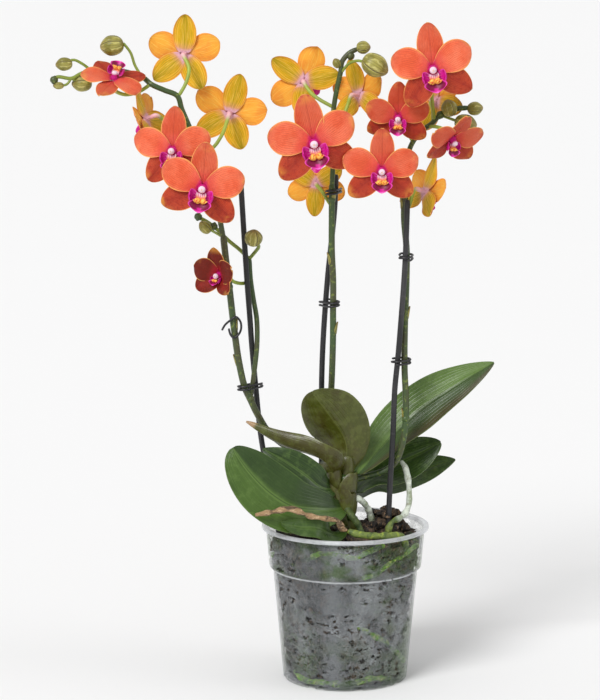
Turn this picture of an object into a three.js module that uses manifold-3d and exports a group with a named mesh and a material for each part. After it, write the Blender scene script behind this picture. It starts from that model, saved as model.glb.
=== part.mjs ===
// A potted moth orchid: a clear nursery pot of bark, one plant with eight leaves, aerial roots,
// three flower spikes on wire-clipped stakes, seventeen open blooms and their buds.
// Millimetres, +Z up. The origin is the centre of the pot's flat base, -Y is the front.
import * as THREE from "three";
import { mergeVertices } from "three/addons/utils/BufferGeometryUtils.js";
import Module from "manifold-3d";

const wasm = await Module();
wasm.setup();

// Pot
const POT_HEIGHT = 112;
const POT_RIM_RADIUS = 60;
const POT_BASE_RADIUS = 44.5;
const POT_WALL = 1;
const POT_STEP_HEIGHT = 81;
const POT_WAIST_RADIUS = 52;
const POT_COLLAR_RADIUS = 54.5;
const POT_COLLAR_TOP_RADIUS = 57;
const POT_LIP_HEIGHT = 2.6;
const POT_FLOOR = 1.2;
const POT_SEGMENTS = 36;
const DRAIN_SLOTS = 8;
const DRAIN_SLOT = { width: 7, height: 3.2, depth: 5 };

// Clearances
const GAP = 0.3;
const SEAT_GAP = 0.35;

// Bark mix
const MIX_TOP = 98;
const MOUND = { height: 9, topRadius: 16, footRadius: 42 };
const MIX_INSET = 5;
const CORE_SIDES = 14;
const CHUNK_ROWS = 5;
const CHUNKS_PER_ROW = 6;
const TOP_CHUNKS = 5;
const TOP_CHUNK_REACH = 41;
const GOLDEN_ANGLE = 2.4;
const RIDGE = { x: 28, y: 10, top: 119, topRadius: 8, footRadius: 21 };
const RIDGE_CHUNKS = [
  [20, 13, 117],
  [30, 14, 120],
  [39, 9, 118],
  [26, 4, 118],
  [41, 14, 116],
];
const WALL_SLOPE = Math.atan((POT_WAIST_RADIUS - POT_BASE_RADIUS) / POT_STEP_HEIGHT);

// Plant
const CROWN = { x: 0, y: -3, foot: 92, top: 150, footRadius: 8, topRadius: 6.5 };
const LEAF_THICKNESS = 1.6;
const STAKE_RADIUS = 2;
const CLIP_WIRE = 0.8;
const CLIP_SLACK = 0.8;
const CLIP_STEPS = 7;
const STALK_RADIUS = 1.3;
const THIN_STEM = 1.5;
const BLOOM_SPAN_RADIUS = 33;
const TEPAL_THICKNESS = 0.9;
const BLOOM_BACK = -5.6;
const BLOOM_CORE = [[0, BLOOM_BACK], [1.8, BLOOM_BACK], [3.1, 0], [2.8, 5], [0, 9.4]];
const TEPAL_FOOT = 1.9;
const LOW_SEPALS = [125, -125];
const PETAL_TURN = 68;

// The lip from its foot to its tip: half-widths in millimetres of a full bloom, and how far the
// edges turn up in radians. The first swelling is the raised side lobes, the second the middle lobe.
const LIP_ROOT = { y: -4, z: 3.4 };
const LIP_HALF_WIDTHS = [1.8, 7.5, 9.5, 4.5, 7.2, 6, 1.4];
const LIP_CUPS = [0.8, 1.2, 1.35, 0.6, 0.25, 0.2, 0.3];

const { Vector3 } = THREE;
const DEGREE = Math.PI / 180;

const COLOURS = {
  pot: { color: 0xdedbe6, roughness: 0.28, metalness: 0 },
  bark: { color: 0x4a3a30, roughness: 0.95, metalness: 0 },
  crown: { color: 0x5f6f3a, roughness: 0.55, metalness: 0 },
  leaf: { color: 0x3f6b2e, roughness: 0.42, metalness: 0 },
  leafBack: { color: 0x4c4d20, roughness: 0.5, metalness: 0 },
  spike: { color: 0x4a5c33, roughness: 0.5, metalness: 0 },
  stake: { color: 0x3b3640, roughness: 0.6, metalness: 0 },
  wire: { color: 0x2c2a30, roughness: 0.45, metalness: 0.3 },
  dryRoot: { color: 0xa87850, roughness: 0.9, metalness: 0 },
  greenRoot: { color: 0x7b8c4a, roughness: 0.6, metalness: 0 },
  silverRoot: { color: 0xc3cbbd, roughness: 0.8, metalness: 0 },
  petal: { color: 0xe9744a, roughness: 0.55, metalness: 0 },
  lip: { color: 0xc41a86, roughness: 0.5, metalness: 0 },
};

// A repeatable draw between 0 and 1, one stream for each seed.
function randomStream(seed) {
  let state = seed;
  return () => {
    state = (state + 0x6d2b79f5) | 0;
    let mixed = Math.imul(state ^ (state >>> 15), 1 | state);
    mixed = (mixed + Math.imul(mixed ^ (mixed >>> 7), 61 | mixed)) ^ mixed;
    return ((mixed ^ (mixed >>> 14)) >>> 0) / 4294967296;
  };
}

function place([x, y, z]) {
  return new Vector3(x, y, z);
}

function routeThrough(points) {
  return new THREE.CatmullRomCurve3(points.map(place), false, "centripetal");
}

// Closed shapes of three.js as solids, and back.
function solid(geometry) {
  const bare = geometry.clone();
  bare.deleteAttribute("normal");
  bare.deleteAttribute("uv");
  const merged = mergeVertices(bare, 1e-4);
  return new wasm.Manifold(
    new wasm.Mesh({
      numProp: 3,
      vertProperties: new Float32Array(merged.attributes.position.array),
      triVerts: new Uint32Array(merged.index.array),
    }),
  );
}

function fuse(geometries) {
  return wasm.Manifold.union(geometries.map(solid));
}

function geometryOf(made) {
  const { vertProperties, triVerts } = made.getMesh();
  return new THREE.BufferGeometry()
    .setAttribute("position", new THREE.BufferAttribute(vertProperties, 3))
    .setIndex(new THREE.BufferAttribute(triVerts, 1));
}

function named(name, geometry, finish) {
  const mesh = new THREE.Mesh(geometry, new THREE.MeshStandardMaterial(finish));
  mesh.name = name;
  return mesh;
}

// A round rod of one radius along a route, with an even number of sides.
function rod(points, radius, { sides = 6, steps = 2 * points.length } = {}) {
  const section = new THREE.Shape().absarc(0, 0, radius, 0, 2 * Math.PI);
  const route = routeThrough(points);
  return new THREE.ExtrudeGeometry(section, {
    steps,
    curveSegments: sides / 2,
    bevelEnabled: false,
    extrudePath: route,
  });
}

// An egg shape: its long half-axis lies along a direction.
function egg(centre, direction, long, wide, { around = 6, rings = 5 } = {}) {
  const shape = new THREE.SphereGeometry(1, around, rings);
  shape.scale(wide, long, wide);
  const turn = new THREE.Quaternion().setFromUnitVectors(
    new Vector3(0, 1, 0),
    place(direction).normalize(),
  );
  shape.applyQuaternion(turn);
  shape.translate(...centre);
  return shape;
}

// A thin closed blade along a curve. Its cross-section is an arc: the cup is the angle that each
// edge has turned towards the facing side. Both faces are split into triangles alike.
function blade({ curve, facing, halfWidth, cup, thickness, rows, columns, wave = () => 0 }) {
  const faces = [[], []];
  for (let i = 0; i <= rows; i++) {
    const t = i / rows;
    const along = curve.getTangentAt(t);
    const across = new Vector3().crossVectors(along, facing(t)).normalize();
    const up = new Vector3().crossVectors(across, along);
    for (let j = 0; j <= columns; j++) {
      const s = (2 * j) / columns - 1;
      const edge = cup(t);
      const turned = edge * s;
      const flat = Math.abs(edge) < 1e-3;
      const sideways = flat ? s : Math.sin(turned) / edge;
      const raised = flat ? 0 : (1 - Math.cos(turned)) / edge;
      const point = curve
        .getPointAt(t)
        .addScaledVector(across, sideways * halfWidth(t))
        .addScaledVector(up, raised * halfWidth(t) + wave(t, s));
      const normal = up
        .clone()
        .multiplyScalar(Math.cos(turned))
        .addScaledVector(across, -Math.sin(turned));
      faces[0].push(point.clone().addScaledVector(normal, thickness / 2));
      faces[1].push(point.clone().addScaledVector(normal, -thickness / 2));
    }
  }
  const perRow = columns + 1;
  const perFace = (rows + 1) * perRow;
  const index = [];
  const quad = (a, b, c, d) => index.push(a, b, c, a, c, d);
  for (let i = 0; i < rows; i++) {
    for (let j = 0; j < columns; j++) {
      const a = i * perRow + j;
      const corners = [a, a + 1, a + perRow + 1, a + perRow];
      quad(...corners);
      const under = corners.map((k) => k + perFace);
      index.push(under[0], under[2], under[1], under[0], under[3], under[2]);
    }
  }
  const wall = (a, b) => quad(b, a, a + perFace, b + perFace);
  for (let j = 0; j < columns; j++) {
    wall(j, j + 1);
    wall(rows * perRow + j + 1, rows * perRow + j);
  }
  for (let i = 0; i < rows; i++) {
    wall((i + 1) * perRow, i * perRow);
    wall(i * perRow + columns, (i + 1) * perRow + columns);
  }
  return new THREE.BufferGeometry().setFromPoints(faces.flat()).setIndex(index);
}

// The half-width of a petal or leaf along its length: a narrow foot, a widest place, a round tip.
function outline(width, { foot, widest, blunt }) {
  const start = foot * foot;
  const shift = Math.log(0.5) / Math.log(widest);
  return (t) => {
    const along = start + (1 - start - 0.02) * t ** shift;
    return (width / 2) * Math.sin(Math.PI * along) ** blunt;
  };
}

// The pot: a lathed shell with a stepped collar, a rolled lip and drain slots at the foot.
function potOuterRadius(z) {
  return POT_BASE_RADIUS + ((POT_WAIST_RADIUS - POT_BASE_RADIUS) * z) / POT_STEP_HEIGHT;
}

function lathe(profile) {
  return new THREE.LatheGeometry(
    profile.map(([r, z]) => new THREE.Vector2(r, z)),
    POT_SEGMENTS,
  ).rotateX(Math.PI / 2);
}

function pot() {
  const lip = POT_HEIGHT - POT_LIP_HEIGHT;
  const waistInside = POT_WAIST_RADIUS - POT_WALL;
  const collarInside = POT_COLLAR_RADIUS - POT_WALL;
  const shell = solid(
    lathe([
      [0, 0],
      [POT_BASE_RADIUS - 1, 0],
      [potOuterRadius(1), 1],
      [POT_WAIST_RADIUS, POT_STEP_HEIGHT],
      [POT_COLLAR_RADIUS, POT_STEP_HEIGHT + 1.2],
      [POT_COLLAR_TOP_RADIUS, lip],
      [POT_RIM_RADIUS, lip],
      [POT_RIM_RADIUS, POT_HEIGHT],
      [POT_COLLAR_TOP_RADIUS - POT_WALL, POT_HEIGHT],
      [collarInside, POT_STEP_HEIGHT + 2.2],
      [waistInside, POT_STEP_HEIGHT + 0.8],
      [potOuterRadius(POT_FLOOR) - POT_WALL, POT_FLOOR],
      [0, POT_FLOOR],
    ]),
  );
  const slots = [];
  for (let k = 0; k < DRAIN_SLOTS; k++) {
    const angle = ((k + 0.25) / DRAIN_SLOTS) * 2 * Math.PI;
    const slot = new THREE.BoxGeometry(DRAIN_SLOT.depth, DRAIN_SLOT.width, 2 * DRAIN_SLOT.height);
    slot.translate(POT_BASE_RADIUS, 0, 0).rotateZ(angle);
    slots.push(slot);
  }
  return geometryOf(shell.subtract(fuse(slots)));
}

// Bark mix: a core with angular chunks pressed flat to the wall and heaped on top.
function barkMix(planted) {
  const draw = randomStream(11);
  const bark = (size) => new THREE.BoxGeometry(size * 0.45, size, size * 0.62);
  const bottom = POT_FLOOR + SEAT_GAP;
  const core = new THREE.CylinderGeometry(
    potOuterRadius(MIX_TOP) - MIX_INSET,
    potOuterRadius(bottom) - MIX_INSET,
    MIX_TOP - bottom,
    CORE_SIDES,
  )
    .rotateX(Math.PI / 2)
    .translate(0, 0, (MIX_TOP + bottom) / 2);
  const mound = new THREE.CylinderGeometry(
    MOUND.topRadius,
    MOUND.footRadius,
    MOUND.height + 2,
    CORE_SIDES - 2,
  )
    .rotateX(Math.PI / 2)
    .translate(0, 0, MIX_TOP + MOUND.height / 2 - 1);
  const ridge = new THREE.CylinderGeometry(
    RIDGE.topRadius,
    RIDGE.footRadius,
    RIDGE.top - MIX_TOP + 2,
    CORE_SIDES - 6,
  )
    .rotateX(Math.PI / 2)
    .translate(RIDGE.x, RIDGE.y, (RIDGE.top + MIX_TOP - 2) / 2);
  const pieces = [core, mound, ridge];
  for (let row = 0; row < CHUNK_ROWS; row++) {
    const z = 11 + (row * (MIX_TOP - 19)) / (CHUNK_ROWS - 1);
    for (let k = 0; k < CHUNKS_PER_ROW; k++) {
      const size = 13 + 4 * draw();
      const bulge = size ** 2 / (5 * potOuterRadius(z)) + GAP;
      const chunk = bark(size).rotateX(draw() * Math.PI).rotateY(WALL_SLOPE);
      chunk.translate(potOuterRadius(z) - POT_WALL - GAP - bulge - 0.23 * size, 0, z);
      pieces.push(chunk.rotateZ(((k + (row % 2) / 2 + 0.3 * draw()) / CHUNKS_PER_ROW) * 2 * Math.PI));
    }
  }
  for (let k = 0; k < TOP_CHUNKS; k++) {
    const r = TOP_CHUNK_REACH * Math.sqrt((k + 0.5) / TOP_CHUNKS);
    const chunk = bark(13 + 4 * draw()).rotateX((draw() - 0.5) * 1.6).rotateY(0.6 + 1.4 * draw());
    const z = MIX_TOP + 1 + MOUND.height * (1 - r / TOP_CHUNK_REACH);
    chunk.rotateZ(draw() * Math.PI).translate(r, 0, z);
    pieces.push(chunk.rotateZ(k * GOLDEN_ANGLE));
  }
  for (const spot of RIDGE_CHUNKS) {
    const chunk = bark(13 + 3 * draw()).rotateX(draw() - 0.5).rotateY(0.9 + 0.6 * draw());
    pieces.push(chunk.rotateZ(draw() * Math.PI).translate(...spot));
  }
  const holes = planted.map(({ points, radius, sides }) =>
    rod(points, radius + SEAT_GAP, { sides }),
  );
  const bodies = fuse(pieces).subtract(fuse(holes)).decompose();
  return geometryOf(bodies.reduce((most, body) => (body.volume() > most.volume() ? body : most)));
}

// The crown: the short thick stem that everything grows from, with two roots down into the bark.
function crown() {
  const { x, y, foot, top, footRadius, topRadius } = CROWN;
  const stem = new THREE.CylinderGeometry(topRadius, footRadius, top - foot, 10, 3)
    .rotateX(Math.PI / 2)
    .translate(x, y, (foot + top) / 2);
  return geometryOf(
    fuse([stem, ...CROWN_ROOTS.map(({ points, radius }) => rod(points, radius, { steps: 7 }))]),
  );
}

const CROWN_ROOTS = [
  { points: [[4, -5, 133], [11, -4, 130], [17, 2, 121], [20, 6, 108], [20, 7, 94]], radius: 2.3 },
  { points: [[-1, -6, 127], [4, -13, 121], [10, -15, 112], [12, -16, 94]], radius: 2.6 },
];

// Leaves: the midrib's route, the side that each face looks to, the width and the cup of the blade.
const LEAVES = [
  {
    name: "leaf_right_long",
    midrib: [
      [9, -1.2, 148.6], [13, 4, 152], [24, 15, 163], [41, 25, 180], [62, 28, 197], [85, 26, 212],
      [107, 20, 226],
    ],
    facing: [[-0.4, -0.7, 0.6], [-0.3, -0.88, 0.4], [-0.3, -0.88, 0.4]], width: 37,
    cup: [30, 26, 16], shape: { foot: 0.24, widest: 0.5, blunt: 0.75 },
  },
  {
    name: "leaf_right_middle",
    midrib: [
      [8.6, 1.3, 134.5], [12, 8, 137], [22, 23, 142], [40, 32, 150], [58, 36, 158], [70, 34, 165],
    ],
    facing: [[-0.3, -0.7, 0.6], [-0.2, -0.85, 0.5], [-0.1, -0.9, 0.4]], width: 34,
    cup: [30, 24, 14], shape: { foot: 0.22, widest: 0.55, blunt: 0.6 },
  },
  {
    name: "leaf_right_low",
    midrib: [[3.1, 3.7, 127], [22, 38, 133], [48, 50, 139], [68, 55, 144], [82, 55, 148]],
    facing: [[-0.3, -0.7, 0.6], [-0.2, -0.8, 0.6], [-0.1, -0.85, 0.5]], width: 30,
    cup: [30, 22, 14], shape: { foot: 0.28, widest: 0.55, blunt: 0.75 },
  },
  {
    name: "leaf_upright",
    midrib: [
      [-0.5, -1.5, 153.4], [0.5, 0, 159], [1, 1.5, 166], [-1, 2, 175], [-11, -2, 191.5],
      [-24, -9, 210],
    ],
    facing: [[0.1, 0.95, 0.1], [0.1, 0.95, 0.3], [0.1, 0.8, 0.6]], width: 46, cup: [50, 24, 18],
    shape: { foot: 0.18, widest: 0.58, blunt: 0.5 },
  },
  {
    name: "leaf_channel_left",
    midrib: [
      [-8.6, -8.6, 149], [-9.5, -14, 154.5], [-13, -17, 161], [-25, -15, 167], [-40, -12, 171],
      [-54, -8, 177.5], [-71, -3, 187],
    ],
    facing: [[-0.2, 0.3, 1], [-0.1, 0.75, 0.65], [-0.1, 0.75, 0.65]], width: 25,
    cup: [50, 78, 80], shape: { foot: 0.3, widest: 0.34, blunt: 0.8 },
  },
  {
    name: "leaf_left_inner",
    midrib: [
      [-9.5, -7, 139.5], [-13, -12.5, 140], [-19, -17.5, 143], [-28, -20, 151], [-44, -20, 162],
      [-59, -17, 170],
    ],
    facing: [[0.3, -0.9, 0.4], [0.3, -0.9, 0.3], [0.3, -0.9, 0.3]], width: 25, cup: [40, 22, 12],
    shape: { foot: 0.26, widest: 0.5, blunt: 0.75 },
  },
  {
    name: "leaf_left_broad",
    midrib: [
      [-3.2, -11.4, 126], [-9, -21, 127], [-21, -31, 129], [-38, -38.5, 133], [-53, -40, 142.5],
      [-65, -39.5, 154], [-74, -37, 165], [-80, -34, 174],
    ],
    facing: [[0.2, -0.8, 0.5], [0.3, -0.93, 0.2], [0.3, -0.93, 0.2]], width: 42, cup: [30, 8, 6],
    shape: { foot: 0.16, widest: 0.6, blunt: 0.5 },
  },
  {
    name: "leaf_small_front",
    midrib: [
      [-1, -11.6, 112], [-4, -24, 109.5], [-10, -37, 112], [-20, -46.5, 119], [-33, -49, 120.5],
      [-46, -48.5, 123],
    ],
    facing: [[0, -0.25, 1], [0, -0.85, 0.5], [0.1, -0.95, 0.3]], width: 15, cup: [14, 14, 12],
    shape: { foot: 0.2, widest: 0.6, blunt: 0.6 },
  },
];

// A value that moves through three given ones along a blade.
function between(values, mix) {
  return (t) => (t < 0.5 ? mix(values[0], values[1], 2 * t) : mix(values[1], values[2], 2 * t - 1));
}

const mixNumbers = (a, b, t) => a + (b - a) * t;
const mixPlaces = (a, b, t) => place(a).lerp(place(b), t);

function leaf({ midrib, facing, width, cup, shape }) {
  const cupAt = between(cup, mixNumbers);
  return blade({
    curve: routeThrough(midrib),
    facing: between(facing, mixPlaces),
    halfWidth: outline(width, shape),
    cup: (t) => cupAt(t) * DEGREE,
    thickness: LEAF_THICKNESS,
    rows: 8,
    columns: 4,
  });
}

// Stakes, each pushed through the bark.
const STAKES = {
  stake_left: [
    [-75, 15, 362], [-70.5, 15, 287], [-68.4, 15, 258], [-67.2, 15, 240], [-64.5, 15.5, 210],
    [-61, 15, 175], [-54, 12, 135], [-48, 8, 104], [-43, 6, 60],
  ],
  stake_middle: [
    [-7, 17, 362], [-8, 17, 337], [-13, 17, 286], [-16, 18, 242], [-17, 20, 210], [-17, 22, 144],
    [-17, 22, 104], [-17, 22, 50],
  ],
  stake_right: [
    [43, -5, 346], [42, -5, 310], [41, -4, 289], [39, -3, 259], [37, -1, 232], [35, 0, 210],
    [34, 1, 179], [32, 1, 140], [31, 1, 113], [30, 1, 55],
  ],
};

// Spikes: the main stem, its side stems, the bead-like joints and the buds.
const SPIKES = {
  spike_left: {
    stems: [
      {
        radius: 2.4,
        points: [
          [-6.2, 2, 143.2], [-18, 14, 150], [-33, 20, 158], [-54, 14, 175], [-63, 9, 190],
          [-68, 7, 201], [-72, 6, 210], [-76, 4, 228], [-79, 3, 249], [-83, 4, 284],
          [-85, 4, 301], [-87, 4, 320],
        ],
        steps: 15,
      },
      {
        radius: 1.9,
        points: [
          [-86.6, 4, 316], [-90, 5, 334], [-97, 6, 359], [-104, 7, 380], [-111, 8, 397],
          [-116, 8, 409], [-119, 8, 418], [-128, 8, 422], [-137, 8, 426], [-144, 13, 431],
          [-160, 20, 435], [-175, 20, 436], [-182, 18, 436],
        ],
        steps: 18,
      },
      {
        radius: 1.8,
        points: [
          [-68.5, 7, 201], [-67, 9.8, 209], [-65.5, 10.4, 220], [-63.4, 11.5, 240],
          [-63.6, 16, 258], [-66, 20, 272], [-68, 21, 286], [-69, 21, 302],
        ],
        steps: 9,
      },
      {
        radius: 1.3, points: [[-69, 21, 301], [-65, 17, 306], [-62, 10, 311], [-63, 6, 314]],
        steps: 4,
      },
      {
        radius: 1.4,
        points: [
          [-69, 21, 301], [-76, 20, 308], [-83, 18, 314], [-93, 15, 324], [-100, 15, 329],
          [-106, 14, 332],
        ],
        steps: 6,
      },
      {
        radius: 1, points: [[-181, 18, 436], [-186, 16, 440], [-192, 14, 443], [-196, 13, 442]],
        steps: 4,
      },
      {
        radius: 1.3,
        points: [
          [-181, 18, 436], [-188, 16, 433], [-194, 14, 430], [-204, 13, 431], [-207, 12, 428],
        ],
        steps: 5,
      },
      { radius: 0.9, points: [[-194, 14, 430], [-197, 13, 426], [-200, 12, 425]], steps: 3 },
      { radius: 0.9, points: [[-86.5, 4, 318], [-92, 7, 321], [-96, 9, 323]], steps: 3 },
      {
        radius: 1, points: [[-144, 13, 431], [-149, 15, 439], [-152, 14, 448], [-157, 12, 455]],
        steps: 4,
      },
      { radius: 1.1, points: [[-194, 14, 430], [-190, 17, 428]], steps: 2 },
    ],
    buds: [
      { at: [-165, 12, 453], along: [-1, 0, -0.12], long: 8.4, wide: 7.2 },
      { at: [-199, 13, 440], along: [-1, 0, -0.1], long: 6, wide: 4.7 },
      { at: [-187, 18, 426], along: [-1, 0, 0], long: 7.2, wide: 5.6 },
      { at: [-203, 12, 425], along: [-1, 0, 0], long: 3.9, wide: 2.6 },
      { at: [-100, 10, 325], along: [-0.7, 0, 0.7], long: 5.2, wide: 4.3 },
      { at: [-65.5, 4.5, 318], along: [0.1, -0.3, 0.9], long: 6.2, wide: 6.4 },
    ],
    joints: [[-83, 4, 283], [-68, 7, 202], [-94, 15, 325], [-105, 14, 332], [-206, 12, 429]],
  },
  spike_middle: {
    stems: [
      {
        radius: 2.3,
        points: [
          [-0.7, 5, 147.6], [-6, 13, 158], [-10, 18, 175], [-11, 18, 192], [-10, 16, 209],
          [-9, 12, 243], [-9, 9, 265], [-9, 8, 287], [-10, 8, 309], [-10, 8, 334], [-10, 8, 356],
        ],
        steps: 14,
      },
      {
        radius: 1.8,
        points: [
          [-10, 8, 352], [-9, 8, 380], [-9, 8, 407], [-7, 8, 421], [-4, 8, 435], [-3, 8, 442],
          [2, 8, 448], [8, 8, 451],
        ],
        steps: 11,
      },
      { radius: 1, points: [[-4, 8, 434], [2, 5, 441], [8, 0, 443], [13, -4, 442]], steps: 4 },
    ],
    buds: [
      { at: [12, 8, 452], along: [1, 0, 0], long: 5, wide: 4.6 },
      { at: [20, -6, 440], along: [0.8, 0, -0.5], long: 10, wide: 8 },
      { at: [-6.8, 7, 441], along: [-0.5, 0, 1], long: 3.6, wide: 3 },
    ],
    joints: [[-10, 8, 345], [3, 8, 446]],
  },
  spike_right: {
    stems: [
      {
        radius: 2.3,
        points: [
          [4.5, 3.7, 143.3], [15, 8, 145], [30, 8, 150], [37, 5, 158], [41, 3, 171], [43, 3, 188],
          [43, 3, 204], [42, 3, 224], [42, 3, 251], [43, 4, 288], [43, 4, 309], [41, 4, 334],
          [42, 4, 352],
        ],
        steps: 16,
      },
      {
        radius: 1.8,
        points: [
          [42, 4, 348], [42, 4, 364], [45, 3, 382], [52, 2, 393], [60, 2, 399], [66, 2, 405],
          [76, 3, 409], [86, 3, 410],
        ],
        steps: 11,
      },
      { radius: 1, points: [[66, 2, 405], [74, 3, 402], [80, 3, 400]], steps: 3 },
    ],
    buds: [
      { at: [72, 0, 410], along: [-0.3, 0, 1], long: 6.2, wide: 5.6 },
      { at: [84, 3, 399], along: [1, 0, -0.2], long: 8, wide: 6.4 },
      { at: [90.5, 3, 409.5], along: [1, 0, 0.1], long: 5.6, wide: 4.8 },
    ],
    joints: [[43, 3, 188], [66, 2, 405]],
  },
};

// Blooms: the centre, where the face looks (yaw from the front towards +X, pitch up), where the
// top petal points, the size against a full 66 mm bloom, how far it is closed, its stalk's start.
const BLOOMS = [
  {
    at: [-115, 30, 446], yaw: 178, pitch: 0, top: [0, 0, 1], size: 0.83, closed: 0,
    spike: "spike_left", stalk: [[-118, 8, 418], [-113, 11, 427], [-111, 15, 437]],
    low: [129, -149],
  },
  {
    at: [-83, 32, 404], yaw: 180, pitch: 0, top: [0.24, 0, 1], size: 0.83, closed: 0,
    spike: "spike_left", stalk: [[-104, 7, 379], [-95, 8, 381], [-88, 13, 390]], low: [136, -144],
  },
  {
    at: [-163, 0, 430], yaw: 10, pitch: 58, top: [-0.3, -0.8, -0.5], size: 0.72, closed: 10,
    spike: "spike_left", stalk: [[-138, 8, 426], [-146, 9, 421], [-156, 7, 419]],
  },
  {
    at: [-141, 2, 402], yaw: -110, pitch: -20, top: [0, -0.3, 0.9], size: 0.74, closed: 0,
    spike: "spike_left", stalk: [[-110, 8, 396], [-119, 6, 394], [-128, 4, 401]],
  },
  {
    at: [-121, -23, 382], yaw: -8, pitch: 4, top: [-0.05, 0, 1], size: 0.86, closed: 0,
    spike: "spike_left", stalk: [[-106, 7.5, 386], [-111, -4, 385]], low: [125, -135],
  },
  {
    at: [-100, -40, 357], yaw: 0, pitch: 4, top: [0.14, 0, 1], size: 0.93, closed: 0,
    spike: "spike_left", stalk: [[-97, 6, 358], [-98, -12, 358]], low: [129, -118],
  },
  {
    at: [-89, -7, 293], yaw: -35, pitch: 0, top: [0.1, 0, 1], size: 0.72, closed: 40,
    spike: "spike_left", stalk: [[-68, 21, 287], [-72, 18, 284], [-80, 10, 286]],
  },
  {
    at: [-30, 30, 427], yaw: 180, pitch: 0, top: [-0.77, 0, 0.64], size: 0.8, closed: 0,
    spike: "spike_middle", stalk: [[-9, 8, 410], [-20, 12, 416], [-26, 17, 421]],
  },
  {
    at: [-23, -24, 387], yaw: 0, pitch: 2, top: [-0.19, 0, 1], size: 1, closed: 0,
    spike: "spike_middle", stalk: [[-9, 8, 386], [-17, -5, 387]], low: [126, -123],
  },
  {
    at: [9, 20, 418], yaw: 140, pitch: 0, top: [-0.2, 0, 1], size: 0.74, closed: 6,
    spike: "spike_middle", stalk: [[-9, 8, 396], [-3, 9, 402], [1, 12, 411]],
  },
  {
    at: [-21, 32, 354], yaw: 180, pitch: 0, top: [0, 0, -1], size: 0.66, closed: 0,
    spike: "spike_middle", stalk: [[-10, 8, 340], [-13, 12, 344], [-17, 18, 350]],
  },
  {
    at: [59, -24, 438], yaw: 0, pitch: 3, top: [-0.17, 0, 1], size: 0.92, closed: 0,
    spike: "spike_right", stalk: [[62, 2, 401], [60, -3, 414], [59, -9, 430]], low: [121, -134],
  },
  {
    at: [36, -9, 404], yaw: -5, pitch: -8, top: [0, 0, 1], size: 0.72, closed: 8,
    spike: "spike_right", stalk: [[47, 3, 386], [41, 1, 397]], low: [130, -117],
  },
  {
    at: [24, -28, 368], yaw: 0, pitch: 3, top: [0, 0, 1], size: 0.84, closed: 0,
    spike: "spike_right", stalk: [[42, 4, 362], [32, -9, 366]], low: [128, -129],
  },
  {
    at: [73, -16, 390], yaw: 32, pitch: -35, top: [0.05, 0, 1], size: 0.76, closed: 25,
    spike: "spike_right", stalk: [[58, 2, 397], [63, -3, 397]],
  },
  {
    at: [56, 9, 350], yaw: 120, pitch: -18, top: [0.3, 0, 0.95], size: 0.72, closed: 4,
    spike: "spike_right", stalk: [[42, 4, 332], [45, 4, 342]],
  },
  {
    at: [64, 22, 413], yaw: 150, pitch: 0, top: [-0.5, 0, 0.87], size: 0.7, closed: 0,
    spike: "spike_right", stalk: [[61, 2, 400], [61, 8, 408]],
  },
];

// The turned frame of a bloom: its z looks where the face looks, its y to the top petal.
function bloomFrame({ at, yaw, pitch, top }) {
  const facing = new Vector3(
    Math.sin(yaw * DEGREE) * Math.cos(pitch * DEGREE),
    -Math.cos(yaw * DEGREE) * Math.cos(pitch * DEGREE),
    Math.sin(pitch * DEGREE),
  );
  const wanted = place(top);
  const up = wanted.addScaledVector(facing, -wanted.dot(facing)).normalize();
  const right = new Vector3().crossVectors(up, facing);
  return new THREE.Matrix4().makeBasis(right, up, facing).setPosition(place(at));
}

// Where a bloom's stalk ends, straight behind its centre, and the place just before that.
function stalkOf(bloom) {
  const frame = bloomFrame(bloom);
  const back = -BLOOM_BACK * bloom.size + GAP;
  const end = new Vector3(0, 0, -back).applyMatrix4(frame);
  const before = new Vector3(0, 0, -back - 4).applyMatrix4(frame);
  return [...bloom.stalk, before.toArray(), end.toArray()];
}

function spike(name) {
  const { stems, buds, joints } = SPIKES[name];
  const stalks = BLOOMS.filter((bloom) => bloom.spike === name).map((bloom) =>
    rod(stalkOf(bloom), STALK_RADIUS, { sides: 4, steps: 4 }),
  );
  return geometryOf(
    fuse([
      ...stems.map(({ points, radius, steps }) =>
        rod(points, radius, { steps, sides: radius > THIN_STEM ? 6 : 4 }),
      ),
      ...buds.map(({ at, along, long, wide }) => egg(at, along, long, wide)),
      ...joints.map((at) => egg(at, [0.3, 0, 1], 3, 2.8, { around: 5, rings: 3 })),
      ...stalks,
    ]),
  );
}

// One petal or sepal, in the bloom's own frame, at an angle clockwise from the top.
function tepal({ angle, foot, length, width, layer, tilt, bend, cup, shape, columns }) {
  const out = new Vector3(Math.sin(angle), Math.cos(angle), 0);
  const lifted = (distance, rise) =>
    out.clone().multiplyScalar(distance).add(new Vector3(0, 0, layer + rise));
  const slope = Math.sin(tilt);
  const reach = length * Math.cos(tilt);
  return blade({
    curve: new THREE.QuadraticBezierCurve3(
      lifted(foot, 0),
      lifted(0.5 * reach, 0.5 * length * slope),
      lifted(reach, length * (slope + Math.sin(bend))),
    ),
    facing: () => new Vector3(0, 0, 1),
    halfWidth: outline(width, shape),
    cup: () => cup,
    thickness: TEPAL_THICKNESS,
    rows: 3,
    columns,
  });
}

const SEPAL_SHAPE = { foot: 0.11, widest: 0.52, blunt: 0.6 };
const PETAL_SHAPE = { foot: 0.07, widest: 0.58, blunt: 0.55 };

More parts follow.
